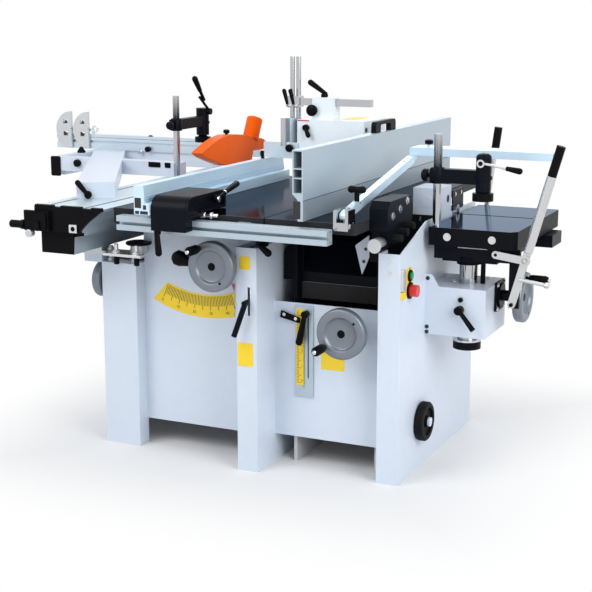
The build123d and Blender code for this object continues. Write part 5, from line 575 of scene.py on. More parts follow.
# The end plate closes the section's end, and the dark blocks on it are painted shade in its hollow chambers.
chamber_shades = ((-259, -236, 872, 904), (-229, -218, 868, 882), (-258, -244, 853, 863), (-240, -212, 853, 863))
for x0, x1, z0, z1 in chamber_shades:
    block(ridges, (x0, fence_low.y - 1.4, z0), (x1, end_y, z1), 1)
end_plate = [(-262, 851), (-206, 851), (-206, 885), (-223, 886), (-226, 941), (-262, 941)]
sawn(ridges, end_plate, "y", end_y, fence_low.y)
piece("rip_fence_ridges", ridges, [SKY_REFLECTION_SECTION, INK_AND_SHADE], "rip")
carrier_low, carrier_high = [Vector(corner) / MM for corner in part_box("rip_carrier")]
side_x = carrier_high.x - 12.5
front_y, back_y = carrier_low.y, carrier_high.y
low_z, high_z = 803.0, carrier_high.z
front_r = 46.0
back_r = 24.0
rail_clear = -560.3
rail_over = 834.3
foot_y = -510.0
rim = 11.0


def hump(inset):
    """The carrier's round top seen from the side, drawn in by an inset."""
    return (arc((front_y + front_r, high_z - front_r), front_r - inset, 180, 90, 10)
            + arc((back_y - back_r, high_z - back_r), back_r - inset, 90, 0, 5))


cover = hump(0) + [(back_y, 853)]
carrier = bmesh.new()
heel = [(foot_y, 853), (foot_y, rail_over), (rail_clear, rail_over), (rail_clear, low_z), (front_y, low_z)]
sawn(carrier, cover + heel, "x", carrier_low.x, side_x - 8)
rim_outer = cover + [(foot_y, 853), (foot_y, 840), (front_y, 840)]
rim_inner = hump(rim) + [(back_y - rim, 860), (-515, 860), (-520, 851), (front_y + rim, 851)]
framed(carrier, rim_outer, rim_inner, "x", side_x - 8, side_x)
rod(carrier, (side_x - 8, -430, 888), (side_x + 12, -430, 888), 6.5)
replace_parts(piece("rip_carrier_casting", carrier, [BLACK_COAT_NAVY_SHEEN], "rip", 1.5), "rip_carrier")
lock = bmesh.new()
lock_x = side_x + 6.5
rod(lock, (lock_x + 6, -430, 888), (lock_x + 14, -430, 888), 9, 1)
grip(lock, (lock_x, -372, 901), (lock_x, -278, 923), 7, 11)
collar(lock, (lock_x, -376, 900), (0, 97, 22), 5.5, 9, 5, 1)
piece("rip_lock_grip", lock, [BLACK_PLASTIC, BRIGHT_STEEL], "rip_lock")
hanger = bmesh.new()
rod(hanger, (-190, -592, 806), (-190, -592, 790), 11)
grip(hanger, (-190, -597, 800), (-180, -604, 722), 8, 11)
stem_y = -516.0
for x0, z0, x1, z1, radius in ((-87, 846, -60, 848, 9), (-62, 847, -16, 849, 6), (-42, 848, -34, 848, 11)):
    rod(hanger, (x0, stem_y, z0), (x1, stem_y, z1), radius, 1)
piece("rip_under_lever", hanger, [BLACK_PLASTIC, BRIGHT_STEEL], "rip")
rail_low, rail_high = [Vector(corner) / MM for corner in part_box("rip_rail")]
flat_back = (-math.pi / 2, 0, 0)
rail_marks = [((rail_low.x + 20 + 10 * k, rail_low.y + 6, rail_high.z + 0.1), 8 if k % 5 else 16, flat_back)
              for k in range(70)]
ticks("rail_ticks", "cabinet", rail_marks, 1.2, INK_AND_SHADE, 0.2)

# Saw unit: a tooth-edged blade on its arbor with riving knife, motor and belt in a tilting cradle,
# under an orange moulded guard whose spout takes the dust hose.


def knob(mesh, start, way, neck, wide, shoulder, tall, top):
    """A turned knob: from its neck out to its full width, then in over the shoulder to its top."""
    turned(mesh, ((0, neck), (3, wide), (shoulder, wide), (tall, top), (tall, 0)), start, way)


GREY_IRON = finish("grey painted iron", (0.34, 0.36, 0.38), 0.55, scale=260, tone=0.15, relief=0.15)
ORANGE = finish("orange moulded plastic", (1.0, 0.13, 0.003), 0.38, scale=500, tone=0.06, relief=0.03,
                spec=0.08)
coat_nodes(GREY_IRON, "saw_trunnion", "arbor_carriage")
coat_nodes(BRIGHT_STEEL, "saw_blade", "saw_arbor", "riving_knife")
coat_nodes(CAST_ALLOY, "saw_motor")
guard = bmesh.new()
guard_x = -388.0
back_line = [(17, 977), (40, 986), (98, 1004), (155, 1018), (217, 1026), (300, 1022), (382, 1012), (513, 988),
             (560, 968)]
belly = [(578, 953), (540, 946), (457, 948), (424, 949), (418, 912), (300, 911), (194, 916), (110, 940),
         (49, 960)]
sawn(guard, back_line + belly, "x", guard_x - 22, guard_x + 22)
turned(guard, ((0, 31), (84, 31), (86, 30), (86, 27), (20, 27), (20, 0)), (guard_x, 446, 990), (0, 46, 86))
knife_high = Vector(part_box("riving_knife")[1]) / MM
sawn(guard, rounded((400, knife_high.z - 40), (knife_high.y + 8, 952), 6), "x", guard_x - 6, guard_x + 6)
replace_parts(piece("blade_guard_shell", guard, [ORANGE], "saw_carriage", 7.0), "blade_guard")
guard_knob = bmesh.new()
rod(guard_knob, (guard_x, 250, 1018), (guard_x, 250, 1030), 5)
knob(guard_knob, (guard_x, 250, 1028), UPWARD, 7, 12, 12, 15, 8)
piece("guard_knob", guard_knob, [BLACK_PLASTIC], "saw_carriage")

# Handwheels: dished alloy castings with a turned rim and a black bore, each pinned to its steel shaft.
# The three large ones have a black crank with a steel end, and the small one has none.
WHEEL_R = 80.0


def handwheel(name, node, body, back, way, shaft, radius=WHEEL_R, cranked=True):
    """A dished wheel facing a way, its crank where the CAD wheel has it; shaft is its length behind."""
    way = Vector(way)
    back = Vector(back)
    crank_out = 60.0
    far = [vertex.co / MM for vertex in nodes[node].data.vertices
           if (vertex.co / MM - back).dot(way) > crank_out]
    crank = sum(far, Vector()) / len(far)
    crank -= way * (crank - back).dot(way)
    share = radius / WHEEL_R
    mesh = bmesh.new()
    dish = ((-10, 60), (-8, 79), (-4, 82), (16, 82), (20, 80), (22, 77), (22, 56), (20, 53), (14, 51),
            (12, 48), (12, 13))
    turned(mesh, [(along, r * share) for along, r in dish], back, way, 0, 48)
    turned(mesh, ((11, 13), (12.5, 13), (12.5, 0)), back, way, 1)
    turned(mesh, ((22.2, 0), (22.2, 4.2), (22.6, 4.2), (22.6, 0)), back + (back - crank) * 0.86, way, 1)
    if cranked:
        handle = ((20, 9), (27, 9), (28, 7), (32, 7), (33, 12), (42, 15), (86, 15), (94, 11))
        turned(mesh, handle, crank, way, 1)
        turned(mesh, ((94, 7), (99, 7), (101, 5), (101, 0)), crank, way, 2)
    rod(mesh, back, back - way * shaft, 9.0, 2)
    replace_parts(piece(name, mesh, [WHEEL_ALLOY, BLACK_PLASTIC, BRIGHT_STEEL], body), node)


WHEEL_ALLOY = finish("turned wheel alloy", (0.20, 0.225, 0.26), 0.36, metal=0.5, scale=420, tone=0.08,
                     spec=0.3)
handwheel("saw_wheel_disc", "saw_handwheel", "saw_wheel", (-55, -480, 680), FRONTWARD, 160)

# Sliding table: a wide aluminium section with two T-slots, running on a beam along the left side.
# A black moulded cover closes its end, with the lock box, its handle and a small grey knob.


def disc(mesh, start, way, radius, tall, slot=0):
    """A flat round plate."""
    turned(mesh, ((0, 0), (0, radius), (tall, radius), (tall, 0)), start, way, slot)


# Painted light: a paler copy of the anodised section, drawn across, for the sliding table's top, the crosscut
# fence and the moulder's fence plate.
LIT_ANODISED_ACROSS = drawn_section("paler anodised section across, painted lit", (0.60, 0.70, 0.77), stretch=(0.02, 1, 1))
coat_nodes(ANODISED, "sliding_table", "slide_beam")
cover_y = -559.5
# The sliding table's top faces take the paler copy, painted lighter than its flanks.
coat_zone("sliding_table", LIT_ANODISED_ACROSS, (-800, -700, 849.5), (-300, 700, 851))
coat_zone("sliding_table", BLACK_PLASTIC, (-800, -700, 600), (-300, cover_y, 900))
coat_zone("slide_beam", BLACK_PLASTIC, (-800, -700, 600), (-300, -543, 900))
face_y, back_face_y = -576.0, -560.5
end_cover = bmesh.new()
scoop = [(-494 + 85 * t, 772 + 72 * t ** 0.8) for t in (0.0, 0.1, 0.25, 0.45, 0.7, 1.0)]
sawn(end_cover, scoop + [(-409, 850), (-494, 850)], "y", face_y, back_face_y)
for x0, x1 in ((-664, -594), (-564, -485), (-447, -409)):
    block(end_cover, (x0, face_y, 849), (x1, back_face_y, 855))
sawn(end_cover, rounded((-690, 775), (-610, 829), 9), "y", -596, -590)
rod(end_cover, (-700, -583, 786), (-715, -583, 786), 16)
grip(end_cover, (-640, -600, 802), (-640, -600, 770), 6, 9)
rod(end_cover, (-678, -600, 760), (-678, face_y, 760), 13, 1)
sawn(end_cover, rounded((-528, 770), (-498, 797), 3), "y", face_y - 8, face_y, 2)
disc(end_cover, (-513, face_y - 8, 783), FRONTWARD, 8, 0.6)
piece("table_end_cover", end_cover, [BLACK_PLASTIC, CAST_ALLOY, BRIGHT_STEEL], "carriage", 1.2)

# Beam supports: welded struts on the cabinet's left legs carry the beam on levelling bolts.
# Nuts above the plate set the height, and black caps close the bolts' lower ends.
coat_nodes(CAST_ALLOY, "beam_brackets")
bolt_y = -391.0
bolt_xs = (-473, -394)
levelling = bmesh.new()
block(levelling, (-522, -402, 666), (-372, -379, 676))
turned(levelling, ((0, 30), (26, 28), (28, 26), (28, 0)), (-408, -352, 676), UPWARD, 3)
turned(levelling, ((0, 40), (2, 44), (8, 44), (10, 42), (10, 0)), (-408, -352, 704), UPWARD, 1)
for x in bolt_xs:
    rod(levelling, (x, bolt_y, 676), (x, bolt_y, 708), 7)
    rod(levelling, (x, bolt_y, 666), (x, bolt_y, 638), 9, 1)
block(levelling, (-612, -376, 636), (-541, -328, 690), 2)
piece("levelling_plate", levelling, [BRIGHT_STEEL, BLACK_PLASTIC, WHITE_COAT_SHADE_TINTED, CAST_ALLOY], "cabinet", 0.8)
bolts("levelling_nuts", "cabinet", [((x, bolt_y, 682), UPWARD) for x in bolt_xs], 12, 6, BRIGHT_STEEL)

# Crosscut frame: welded white steel tubes on the sliding table, with black end caps.
# Black knobs and a lever clamp it, and two dark bolts hold the fence on it.
coat_nodes(WHITE_COAT_SHADE_TINTED, "crosscut_frame")
cross = bmesh.new()
sawn(cross, rounded((-1196, 828), (-1152, 907), 6), "y", 269, 275.5)
for x0, x1 in ((-743, -690), (-670, -645)):
    sawn(cross, rounded((x0, 884), (x1, 904), 3), "y", 272, 275)
knob(cross, (-1068, 275, 884), FRONTWARD, 9, 15, 14, 17, 10)
turned(cross, ((0, 17), (6, 17), (18, 9), (24, 6), (24, 0)), (-1167, 445, 905), UPWARD)
rod(cross, (-598, -362, 864), (-589, -377, 864), 13)
grip(cross, (-592, -374, 864), (-622, -397, 914), 7, 10)
piece("crosscut_caps", cross, [BLACK_PLASTIC], "carriage", 0.8)
bolts("crosscut_bolts", "carriage", [((x, 604, 967), UPWARD) for x in (-930, -700)], 8, 5, DARK_STEEL)

# Crosscut fence: an anodised section clamped on the frame, with two flip stops on a rod.
# Each stop is a cast half-round plate with black marks in its windows.
coat_nodes(LIT_ANODISED_ACROSS, "crosscut_fence")
coat_nodes(CAST_ALLOY, "flip_stop_outer", "flip_stop_inner")
for edge, body in ((-1303, "stop_outer"), (-1218, "stop_inner")):
    marks = bmesh.new()
    sawn(marks, [(edge - 39, 1010), (edge - 19, 1010), (edge - 29, 1025)], "y", 579, 584)
    sawn(marks, [(edge - 39, 959), (edge - 39, 975), (edge - 20, 967)], "y", 579, 584)
    piece(body + "_marks", marks, [INK_AND_SHADE], body)
fence_parts = bmesh.new()
block(fence_parts, (-1386, 589.2, 954), (-425, 590, 955))
turned(fence_parts, ((-4, 9), (-4, 15), (4, 15), (4, 9)), (-1196, 596, 988), FRONTWARD, 1, ring=True)
rod(fence_parts, (-930, 588, 916), (-930, 570, 916), 11, 2)
rod(fence_parts, (-968, 588, 902), (-968, 576, 902), 9, 1)
piece("crosscut_fence_parts", fence_parts, [DARK_STEEL, BRIGHT_STEEL, BLACK_PLASTIC], "carriage")

# Workpiece clamp: a chromed post in the sliding table, a black cast arm and head, a steel screw
# with a black cone pad, and a cam lever.
CHROME = finish("chromed bar", (0.50, 0.51, 0.53), 0.12, metal=1.0, scale=700, stretch=(1, 1, 0.03),
                tone=0.05, relief=0.02)
coat_nodes(CHROME, "clamp_post")
coat_nodes(BLACK_PLASTIC, "clamp_lever")
coat_zone("clamp_post", BLACK_COAT_NAVY_SHEEN, (-560, 40, 1012), (-440, 320, 1120))
coat_zone("clamp_post", BLACK_PLASTIC, (-560, 240, 980), (-440, 320, 1011))
clamp_x, post_y, pad_y, screw_z = -503.0, 79.0, 277.0, 1070.0
clamp = bmesh.new()
turned(clamp, ((0, 30), (3, 30), (10, 22), (18, 12), (18, 0)), (clamp_x, pad_y, 1000), UPWARD)
sleeve = ((0, 14), (0, 19), (4, 21), (40, 21), (44, 19), (44, 14))
turned(clamp, sleeve, (clamp_x, post_y, 1048), UPWARD, ring=True)
collar(clamp, (clamp_x, pad_y, 1060), UPWARD, 22, 27, 8)
rod(clamp, (clamp_x, 60, screw_z), (clamp_x, 38, screw_z), 7)
knob(clamp, (clamp_x, 42, screw_z), FRONTWARD, 8, 14, 14, 16, 9)
piece("clamp_castings", clamp, [BLACK_COAT_NAVY_SHEEN], "carriage")
clamp_bar = bmesh.new()
lever_x = -466.5
rod(clamp_bar, (lever_x, 225, 1150), (lever_x, 190, 1192), 6)
grip(clamp_bar, (lever_x, 194, 1187), (lever_x, 150, 1240), 8, 11)
piece("clamp_grip", clamp_bar, [BLACK_PLASTIC], "carriage_clamp")

# Planer and thicknesser: black cast side plates hold the cutterblock and feed rollers over a cast bed
# that rises on a column. A black sheet hood lies on the bed, and a white guide plate stands beside it.


def dark_frame():
    """Black castings whose feet under the panels are painted grey as painted shade, standing for the shaded
    floor there.
    """
    made = finish("frame iron", (0.004, 0.005, 0.008), 0.5, scale=260, tone=0.2, relief=0.1, spec=0.06)
    tree = made.node_tree
    shader = tree.nodes["Principled BSDF"]
    foot_shade_top = 0.1
    foot_shade_mask = maths(tree, "LESS_THAN", place_parts(tree)["Z"], foot_shade_top)
    # Painted shade: the feet take the grey of the shaded floor under the panels.
    grey = (0.55, 0.56, 0.58, 1)
    plug(tree, shader, {"Base Color": blended(tree, foot_shade_mask, source(shader, "Base Color"), grey)})
    return made


coat_nodes(dark_frame(), "planer_frame")
coat_nodes(CAST_ALLOY, "planer_motor")
coat_nodes(BRIGHT_STEEL, "cutterblock", "feed_roller_front", "feed_roller_rear")
# Painted reflection: the bed top's bluish mirror and tint stand for reflected sky.
coat_nodes(ground_casting("ground bed iron", (0.035, 0.033, 0.034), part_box("thicknesser_table")[1].z,
                          (0.22, 0.25, 0.28), (0.22, 0.26, 0.32)), "thicknesser_table")
coat_nodes(BLACK_COAT_NAVY_SHEEN, "chip_hood")
hood_wing = bmesh.new()
sawn(hood_wing, [(88, 611), (158, 611), (158, 738), (120, 738), (88, 700)], "y", -257, -252)
piece("hood_wing", hood_wing, [BLACK_COAT_NAVY_SHEEN], "bed", 0.8)
guide_y = -302.0
guide = bmesh.new()
sawn(guide, [(358, 749), (405, 785), (406, 715), (393, 682), (382, 657)], "y", guide_y, -299)
sawn(guide, [(380, 700), (467, 700), (467, 760), (400, 760)], "y", -298.8, -295, 1)
piece("guide_plate", guide, [WHITE_COAT_SHADE_TINTED, BLACK_COAT_NAVY_SHEEN], "cabinet", 0.6)
guide_spots = [((x, guide_y, z), FRONTWARD) for x, z in ((394, 740), (388, 700))]
bolts("guide_screws", "cabinet", guide_spots, 4, 2, DARK_STEEL, 12)
handwheel("planer_wheel_disc", "planer_handwheel", "bed_wheel", (358, -400, 485), FRONTWARD, 90)

# Planer fence: a tall hollow aluminium section with a stepped foot, clamped by its cross bar.
# A bent black bar on top is its handle.
FENCE_FOOT_SHADE = drawn_section("painted shade on fence foot", (0.34, 0.41, 0.47), 0.38)
coat_nodes(ANODISED, "planer_fence")
face_x = 278.0
fence_top = 1066.0
fence_parts = bmesh.new()
# The dark line along the foot's step is a painted shadow. The darker band under it is painted shade, and the
# dark rounded patch on the front end is painted shade in the hollow chamber.
block(fence_parts, (face_x - 0.3, -524, 912), (face_x + 0.3, 879, 914), 1)
block(fence_parts, (face_x, -524, 853), (face_x + 0.4, 879, 912), 2)
sawn(fence_parts, rounded((246, 858), (270, 912), 3), "y", -525.8, -525.2, 1)
handle_from, handle_to = 95.0, 285.0
handle_z = fence_top + 38
bend = 14.0
gap_from, gap_to, gap_corner = 140.0, 235.0, 7.0
gap_side, gap_top = fence_top + 20, fence_top + 26
handle = ([(handle_from, fence_top)] + arc((handle_from + bend, handle_z - bend), bend, 180, 90, 5)
          + arc((handle_to - bend, handle_z - bend), bend, 90, 0, 5)
          + [(handle_to, fence_top), (gap_to, fence_top), (gap_to, gap_side), (gap_to - gap_corner, gap_top),
             (gap_from + gap_corner, gap_top), (gap_from, gap_side), (gap_from, fence_top)])
sawn(fence_parts, handle, "x", 251, 269)
piece("fence_handle", fence_parts, [BLACK_PLASTIC, INK_AND_SHADE, FENCE_FOOT_SHADE], "fence")

# Bridge guard: an aluminium strip over the cutterblock on a rising arm, which turns in a steel clevis.
# A black casting on the table's edge carries it on a grey tube, and a T-handle clamps the arm.
coat_nodes(BLACK_COAT_NAVY_SHEEN, "guard_carrier")
coat_zone("guard_carrier", CAST_ALLOY, (447, -430, 750), (493, -391, 797))
coat_zone("guard_carrier", CHROME, (370, -530, 825), (430, -460, 895))
coat_nodes(SKY_REFLECTION_SECTION, "guard_arm", "bridge_guard")
buffers = bmesh.new()
for y, z in ((-345, 790), (-290, 802), (-235, 814)):
    rod(buffers, (495, y, z), (532, y, z), 12)
piece("carrier_buffers", buffers, [RUBBER], "cabinet")
carrier_spots = [((500, y, z), RIGHTWARD) for y, z in ((-348, 858), (-285, 872), (-223, 890))]
bolts("carrier_bolts", "cabinet", carrier_spots, 9, 5, BRIGHT_STEEL)
arm_x, tee_y, tee_z = 400.0, -394.0, 940.0
clevis_spots = [((424, y, 842), RIGHTWARD) for y in (-478, -508)] + [((arm_x, -470, 892), UPWARD)]
bolts("clevis_bolts", "cabinet", clevis_spots, 7, 4, BRIGHT_STEEL)
tee = bmesh.new()
rod(tee, (arm_x, tee_y, 896), (arm_x, tee_y, tee_z), 8)
rod(tee, (arm_x, tee_y, 896), (arm_x, tee_y, 904), 12, 1)
for side in (1, -1):
    grip(tee, (arm_x - 2 * side, tee_y, tee_z), (arm_x + 30 * side, tee_y, tee_z), 9, 12)
piece("arm_tee_handle", tee, [BLACK_PLASTIC, BRIGHT_STEEL], "arm")
bolts("arm_bolts", "arm", [((arm_x, y, z), UPWARD) for y, z in ((20, 982), (56, 989))], 7, 4, BRIGHT_STEEL)
strip_parts = bmesh.new()
strip_low, strip_high = [Vector(corner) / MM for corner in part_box("bridge_guard")]
knob_x, knob_y = strip_low.x + 58, strip_low.y + 22
rod(strip_parts, (knob_x, knob_y, strip_high.z), (knob_x, knob_y, strip_high.z + 12), 5, 1)
knob(strip_parts, (knob_x, knob_y, strip_high.z + 10), UPWARD, 8, 14, 14, 17, 9)
piece("strip_knob", strip_parts, [BLACK_PLASTIC, BRIGHT_STEEL], "bridge")

# Spindle moulder: a steel spindle in a quill under the saw table, behind a white sheet hood with
# an aluminium fence plate. Chromed posts hold a pressure shoe, set by black knobs and clamp levers.
coat_nodes(GREY_IRON, "spindle_quill")
coat_nodes(BRIGHT_STEEL, "spindle")
# Painted light: the hood's white is a paler, bluer copy of the cabinet's white coat.
LIT_HOOD_WHITE = finish("white sheet hood", (0.84, 0.91, 0.97), 0.34, scale=420, tone=0.04, relief=0.04, spec=0.4)
coat_nodes(LIT_HOOD_WHITE, "moulder_hood")
coat_nodes(CHROME, "moulder_bars")
coat_zone("moulder_bars", ANODISED, (-260, 270, 990), (-100, 380, 1093))
handwheel("moulder_wheel_disc", "spindle_handwheel", "moulder_wheel", (-556, -328, 571), (-1, 0, 0), 24, 62.0,
          False)
moulder = bmesh.new()
turned(moulder, ((0, 8), (4, 8), (5, 20), (16, 21), (20, 15), (20, 0)), (-52, 288, 1122), FRONTWARD)
rod(moulder, (-20, 318, 1168), (-20, 318, 1180), 13)
grip(moulder, (-12, 318, 1178), (-82, 312, 1226), 7, 11)
rod(moulder, (-68, 268, 1060), (-68, 252, 1060), 12)
grip(moulder, (-68, 254, 1060), (-50, 248, 1026), 6, 9)
sawn(moulder, rounded((40, 330), (100, 460), 4), "z", 1088, 1089, 1)
block(moulder, (-104, 266.5, 1083), (-58, 268, 1087), 2)
sawn(moulder, rounded((-240, 946), (-100, 1004), 5), "y", 262, 268, 3)
knob(moulder, (-132, 262, 984), FRONTWARD, 8, 14, 13, 15, 9)
sawn(moulder, rounded((-250, 940), (-239, 970), 3), "y", 258, 268)
piece("moulder_fittings", moulder, [BLACK_PLASTIC, YELLOW_PLATE, RED_PAINT, LIT_ANODISED_ACROSS], "cabinet", 0.6)
bolts("moulder_bolts", "cabinet", [((155, y, 1057), RIGHTWARD) for y in (290, 352)], 7, 3, DARK_STEEL, 12)
press = bmesh.new()
for x in (-123, -148):
    rod(press, (x, 300, 1132), (x, 300, 1142), 10, 1)
    grip(press, (x - 12, 300, 1140), (x - 26, 296, 1196), 6, 8)
    rod(press, (x - 12, 304, 1136), (x, 304, 1136), 8)
piece("press_levers", press, [BLACK_PLASTIC, BRIGHT_STEEL], "press")

# Mortiser: a white box on the right wall carries a chromed column. A black knee and saddle slide on it
# under a ground iron table, worked by two levers and a handwheel.
# Painted reflection: the mortiser table's strongly blue mirror and tint stand for reflected sky.
MORTISE_IRON = ground_casting("ground mortiser iron", (0.005, 0.005, 0.006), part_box("mortise_table")[1].z,
                              (0.15, 0.19, 0.25), (0.48, 0.56, 0.68))
ZINC = finish("zinc plated bar", (0.62, 0.63, 0.64), 0.3, metal=0.9, scale=500, relief=0.04)
coat_nodes(MORTISE_IRON, "mortise_table")
coat_nodes(BLACK_COAT_NAVY_SHEEN, "mortise_saddle")
coat_nodes(BLACK_PLASTIC, "mortise_lock_lever")
coat_nodes(CHROME, "mortise_column")
coat_zone("mortise_column", BLACK_COAT_NAVY_SHEEN, (500, -300, 665), (900, 500, 760))
coat_zone("mortise_column", BLACK_COAT_NAVY_SHEEN, (600, -100, 380), (710, 20, 416))
coat_zone("mortise_column", BLACK_COAT_NAVY_SHEEN, (690, -50, 380), (710, -30, 690))
coat_zone("mortise_bracket", BLACK_COAT_NAVY_SHEEN, (744, -60, 500), (770, 60, 640))
coat_nodes(ZINC, "plunge_lever", "plunge_link", "cross_lever")
coat_zone("plunge_lever", BLACK_PLASTIC, (926, -230, 925), (1010, -130, 1120))
coat_zone("cross_lever", BLACK_PLASTIC, (560, 350, 985), (660, 430, 1120))
handwheel("mortise_wheel_disc", "mortise_handwheel", "knee_wheel", (818, -4, 566), RIGHTWARD, 66)
front = -149.0
hub_x, hub_y, hub_z = 751.0, -4.0, 566.0
cover_x, side_plate_x = 540.0, 546.0
fittings = bmesh.new()
framed(fittings, rounded((-52, 518), (44, 614), 6), rounded((-44, 526), (36, 606), 30), "x", 743, hub_x)
knob(fittings, (662, front, 571), FRONTWARD, 6, 8, 9, 11, 5)
rod(fittings, (hub_x, hub_y, hub_z), (805, hub_y, hub_z), 18)
disc(fittings, (cover_x, 66, 862), RIGHTWARD, 13, 0.6)
block(fittings, (cover_x, -13, 866), (cover_x + 0.6, -3, 880))
disc(fittings, (494, -20, 860), FRONTWARD, 20, 1.5, 1)
sawn(fittings, rounded((102, 816), (216, 884), 6), "x", 541, side_plate_x)
piece("mortise_fittings", fittings, [BLACK_COAT_NAVY_SHEEN, WHITE_COAT_SHADE_TINTED], "cabinet", 0.8)
flange_spots = [((hub_x, y, z), RIGHTWARD) for y in (-43, 35) for z in (527, 605)]
bolts("flange_bolts", "cabinet", flange_spots, 5, 4, BRIGHT_STEEL)
screw_spots = [((549, front, z), FRONTWARD) for z in (632, 472, 455)]
bolts("bracket_screws", "cabinet", screw_spots, 5, 2, DARK_STEEL, 12)
top_spots = [((x, y, 607), UPWARD) for x, y in ((604, -41), (691, 60))]
bolts("bracket_top_bolts", "cabinet", top_spots, 7, 4, BRIGHT_STEEL)
dot_spots = [((side_plate_x, y, 870), RIGHTWARD) for y in (128, 190)]
bolts("guard_dots", "cabinet", dot_spots, 5, 2, BRIGHT_STEEL, 12)
bolts("skirt_bolts", "mortise_bed", [((x, -182, 776), FRONTWARD) for x in (621, 767)], 9, 5, BRIGHT_STEEL)
skirt = bmesh.new()
block(skirt, (651, -163, 741), (746, -160.3, 746))
block(skirt, (799, 170, 703), (872, 296, 744), 1)
piece("saddle_strip", skirt, [WHITE_COAT_SHADE_TINTED, BLACK_COAT_NAVY_SHEEN], "saddle", 0.4)
column_x, column_y = 652.0, -40.0
under = bmesh.new()
collar(under, (column_x, column_y, 414), UPWARD, 33, 47, 5)
rod(under, (column_x, column_y, 388), (column_x, column_y, 378), 16)
collar(under, (column_x, column_y, 672), UPWARD, 33, 39, 20, 1)
piece("column_nut", under, [BRIGHT_STEEL, BLACK_COAT_NAVY_SHEEN], "knee")
plunge = bmesh.new()
rod(plunge, (858, -190, 661), (946, -192, 650), 6)
knob(plunge, (940, -192, 651), (88, -2, -11), 7, 9, 12, 15, 6)
rod(plunge, (882, -182.5, 746), (947.3, -182.5, 985.4), 14.8)
piece("plunge_rod", plunge, [ZINC], "plunge")

# Hold-down: a chromed column on the mortiser's table with a black cast arm, a screw with a cone pad
# and a cam lever with a black grip.
coat_nodes(CHROME, "hold_down")
coat_nodes(BRIGHT_STEEL, "hold_down_lever")
coat_zone("hold_down", BLACK_COAT_NAVY_SHEEN, (540, -200, 918), (760, -100, 1032))
coat_zone("hold_down", BLACK_PLASTIC, (680, -200, 890), (770, -100, 917.5))
hold_y, post_x, pad_x = -150.0, 575.0, 724.0
hold = bmesh.new()
turned(hold, ((0, 7), (10, 7), (12, 20), (24, 21), (30, 15), (30, 0)), (554, hold_y, 965), (-1, 0, 0))
sleeve = ((0, 16), (0, 21), (4, 23), (46, 23), (50, 21), (50, 16))
turned(hold, sleeve, (post_x, hold_y, 941), UPWARD, ring=True)
turned(hold, ((0, 33), (4, 33), (12, 24), (20, 13), (20, 0)), (pad_x, hold_y, 906), UPWARD)
collar(hold, (pad_x, hold_y, 960), UPWARD, 24.2, 28, 10)
turned(hold, ((0, 24), (6, 22), (11, 15), (14, 0)), (pad_x, hold_y, 1029), UPWARD)
piece("hold_castings", hold, [BLACK_COAT_NAVY_SHEEN], "mortise_bed")
hold_lever = bmesh.new()
grip(hold_lever, (804, -180.5, 1001), (856, -180.5, 993), 7, 10)
piece("hold_grip", hold_lever, [BLACK_PLASTIC], "hold_clamp")

# Stage: a plain pale floor that keeps the machine's shadow and runs out to white further off,
# three soft lamps and the photograph's camera.

floor_mesh = bpy.data.meshes.new("floor")
floor_half = 12.0
corners = [(x * floor_half, y * floor_half, 0) for x, y in ((-1, -1), (1, -1), (1, 1), (-1, 1))]
floor_mesh.from_pydata(corners, [], [(0, 1, 2, 3)])
floor = stood("floor", floor_mesh)
floor_paint = bpy.data.materials.new("pale floor")
floor_paint.use_nodes = True
tree = floor_paint.node_tree
floor_shader = tree.nodes["Principled BSDF"]
plug(tree, floor_shader, {"Base Color": (0.80, 0.80, 0.80, 1), "Roughness": 0.9})
glow = added(tree, "ShaderNodeEmission")
place = place_parts(tree)
cabinet_half = {"X": 0.54, "Y": 0.44}
past = [maths(tree, "SUBTRACT", maths(tree, "ABSOLUTE", place[axis]), half)
        for axis, half in cabinet_half.items()]
fade = added(tree, "ShaderNodeMapRange",
             {"Value": maths(tree, "MAXIMUM", *past), "From Max": 0.7, "To Min": 0.02},
             interpolation_type="SMOOTHSTEP")


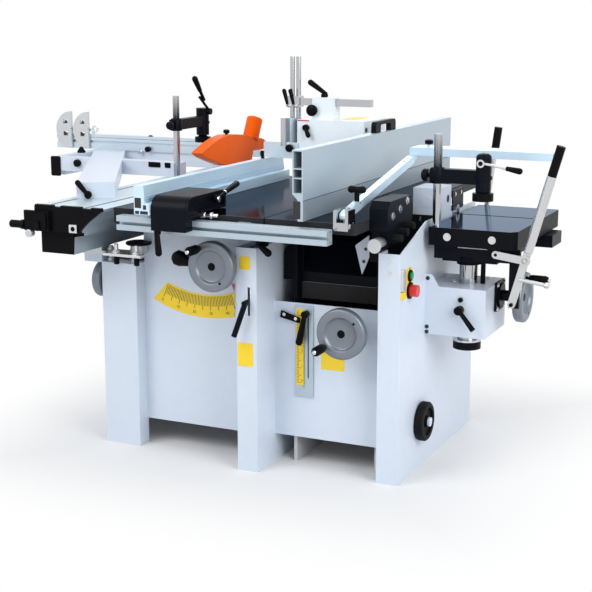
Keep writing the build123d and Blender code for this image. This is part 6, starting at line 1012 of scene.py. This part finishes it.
def seen_rays(tree):
    """1 for rays that come from the camera, off a gloss or through a clear surface."""
    rays = added(tree, "ShaderNodeLightPath").outputs
    bounced = maths(tree, "MAXIMUM", rays["Is Glossy Ray"], rays["Is Transmission Ray"])
    return maths(tree, "MAXIMUM", rays["Is Camera Ray"], bounced)


def shown(tree, share, plain, seen, output):
    """Gives an output the mix of two shaders by a share."""
    mix = added(tree, "ShaderNodeMixShader", {0: share, 1: plain.outputs[0], 2: seen.outputs[0]})
    plug(tree, tree.nodes[output], {"Surface": mix.outputs[0]})


share = maths(tree, "MULTIPLY", fade.outputs["Result"], seen_rays(tree))
shown(tree, share, floor_shader, glow, "Material Output")
floor_mesh.materials.append(floor_paint)

world = bpy.data.worlds.new("studio")
bpy.context.scene.world = world
world.use_nodes = True
sky = world.node_tree
sky_light = sky.nodes["Background"]
plug(sky, sky_light, {"Color": (0.95, 0.97, 1.0, 1), "Strength": 0.55})
sky_white = added(sky, "ShaderNodeBackground", {"Color": (1, 1, 1, 1)})
shown(sky, seen_rays(sky), sky_light, sky_white, "World Output")

aim = Vector((0.0, 0.0, 0.6))
lamps = (("key lamp", (-1.6, -3.2, 3.4), 2.4, 86), ("fill lamp", (3.4, -1.8, 2.4), 2.6, 100),
         ("rear lamp", (-0.6, 2.8, 3.6), 2.6, 65))
for name, spot, size, power in lamps:
    lamp = bpy.data.lights.new(name, "AREA")
    lamp.size = size
    lamp.energy = power
    stand = stood(name, lamp)
    stand.location = spot
    stand.rotation_euler = (aim - Vector(spot)).to_track_quat("-Z", "Y").to_euler()

camera_turn = math.radians(24.808)
camera_drop = math.radians(12.233)
picture_width = 592
focal_pixels = 1301.18
camera_data = bpy.data.cameras.new("camera")
camera_data.sensor_width = 36.0
camera_data.lens = focal_pixels / picture_width * camera_data.sensor_width
camera_data.clip_end = 60.0
camera = stood("camera", camera_data)
camera.location = (1.8868, -4.0543, 1.4633)
look = Vector((-math.sin(camera_turn) * math.cos(camera_drop), math.cos(camera_turn) * math.cos(camera_drop),
               -math.sin(camera_drop)))
camera.rotation_mode = "QUATERNION"
camera.rotation_quaternion = look.to_track_quat("-Z", "Y")
bpy.context.scene.camera = camera
bpy.context.scene.view_settings.view_transform = "Standard"
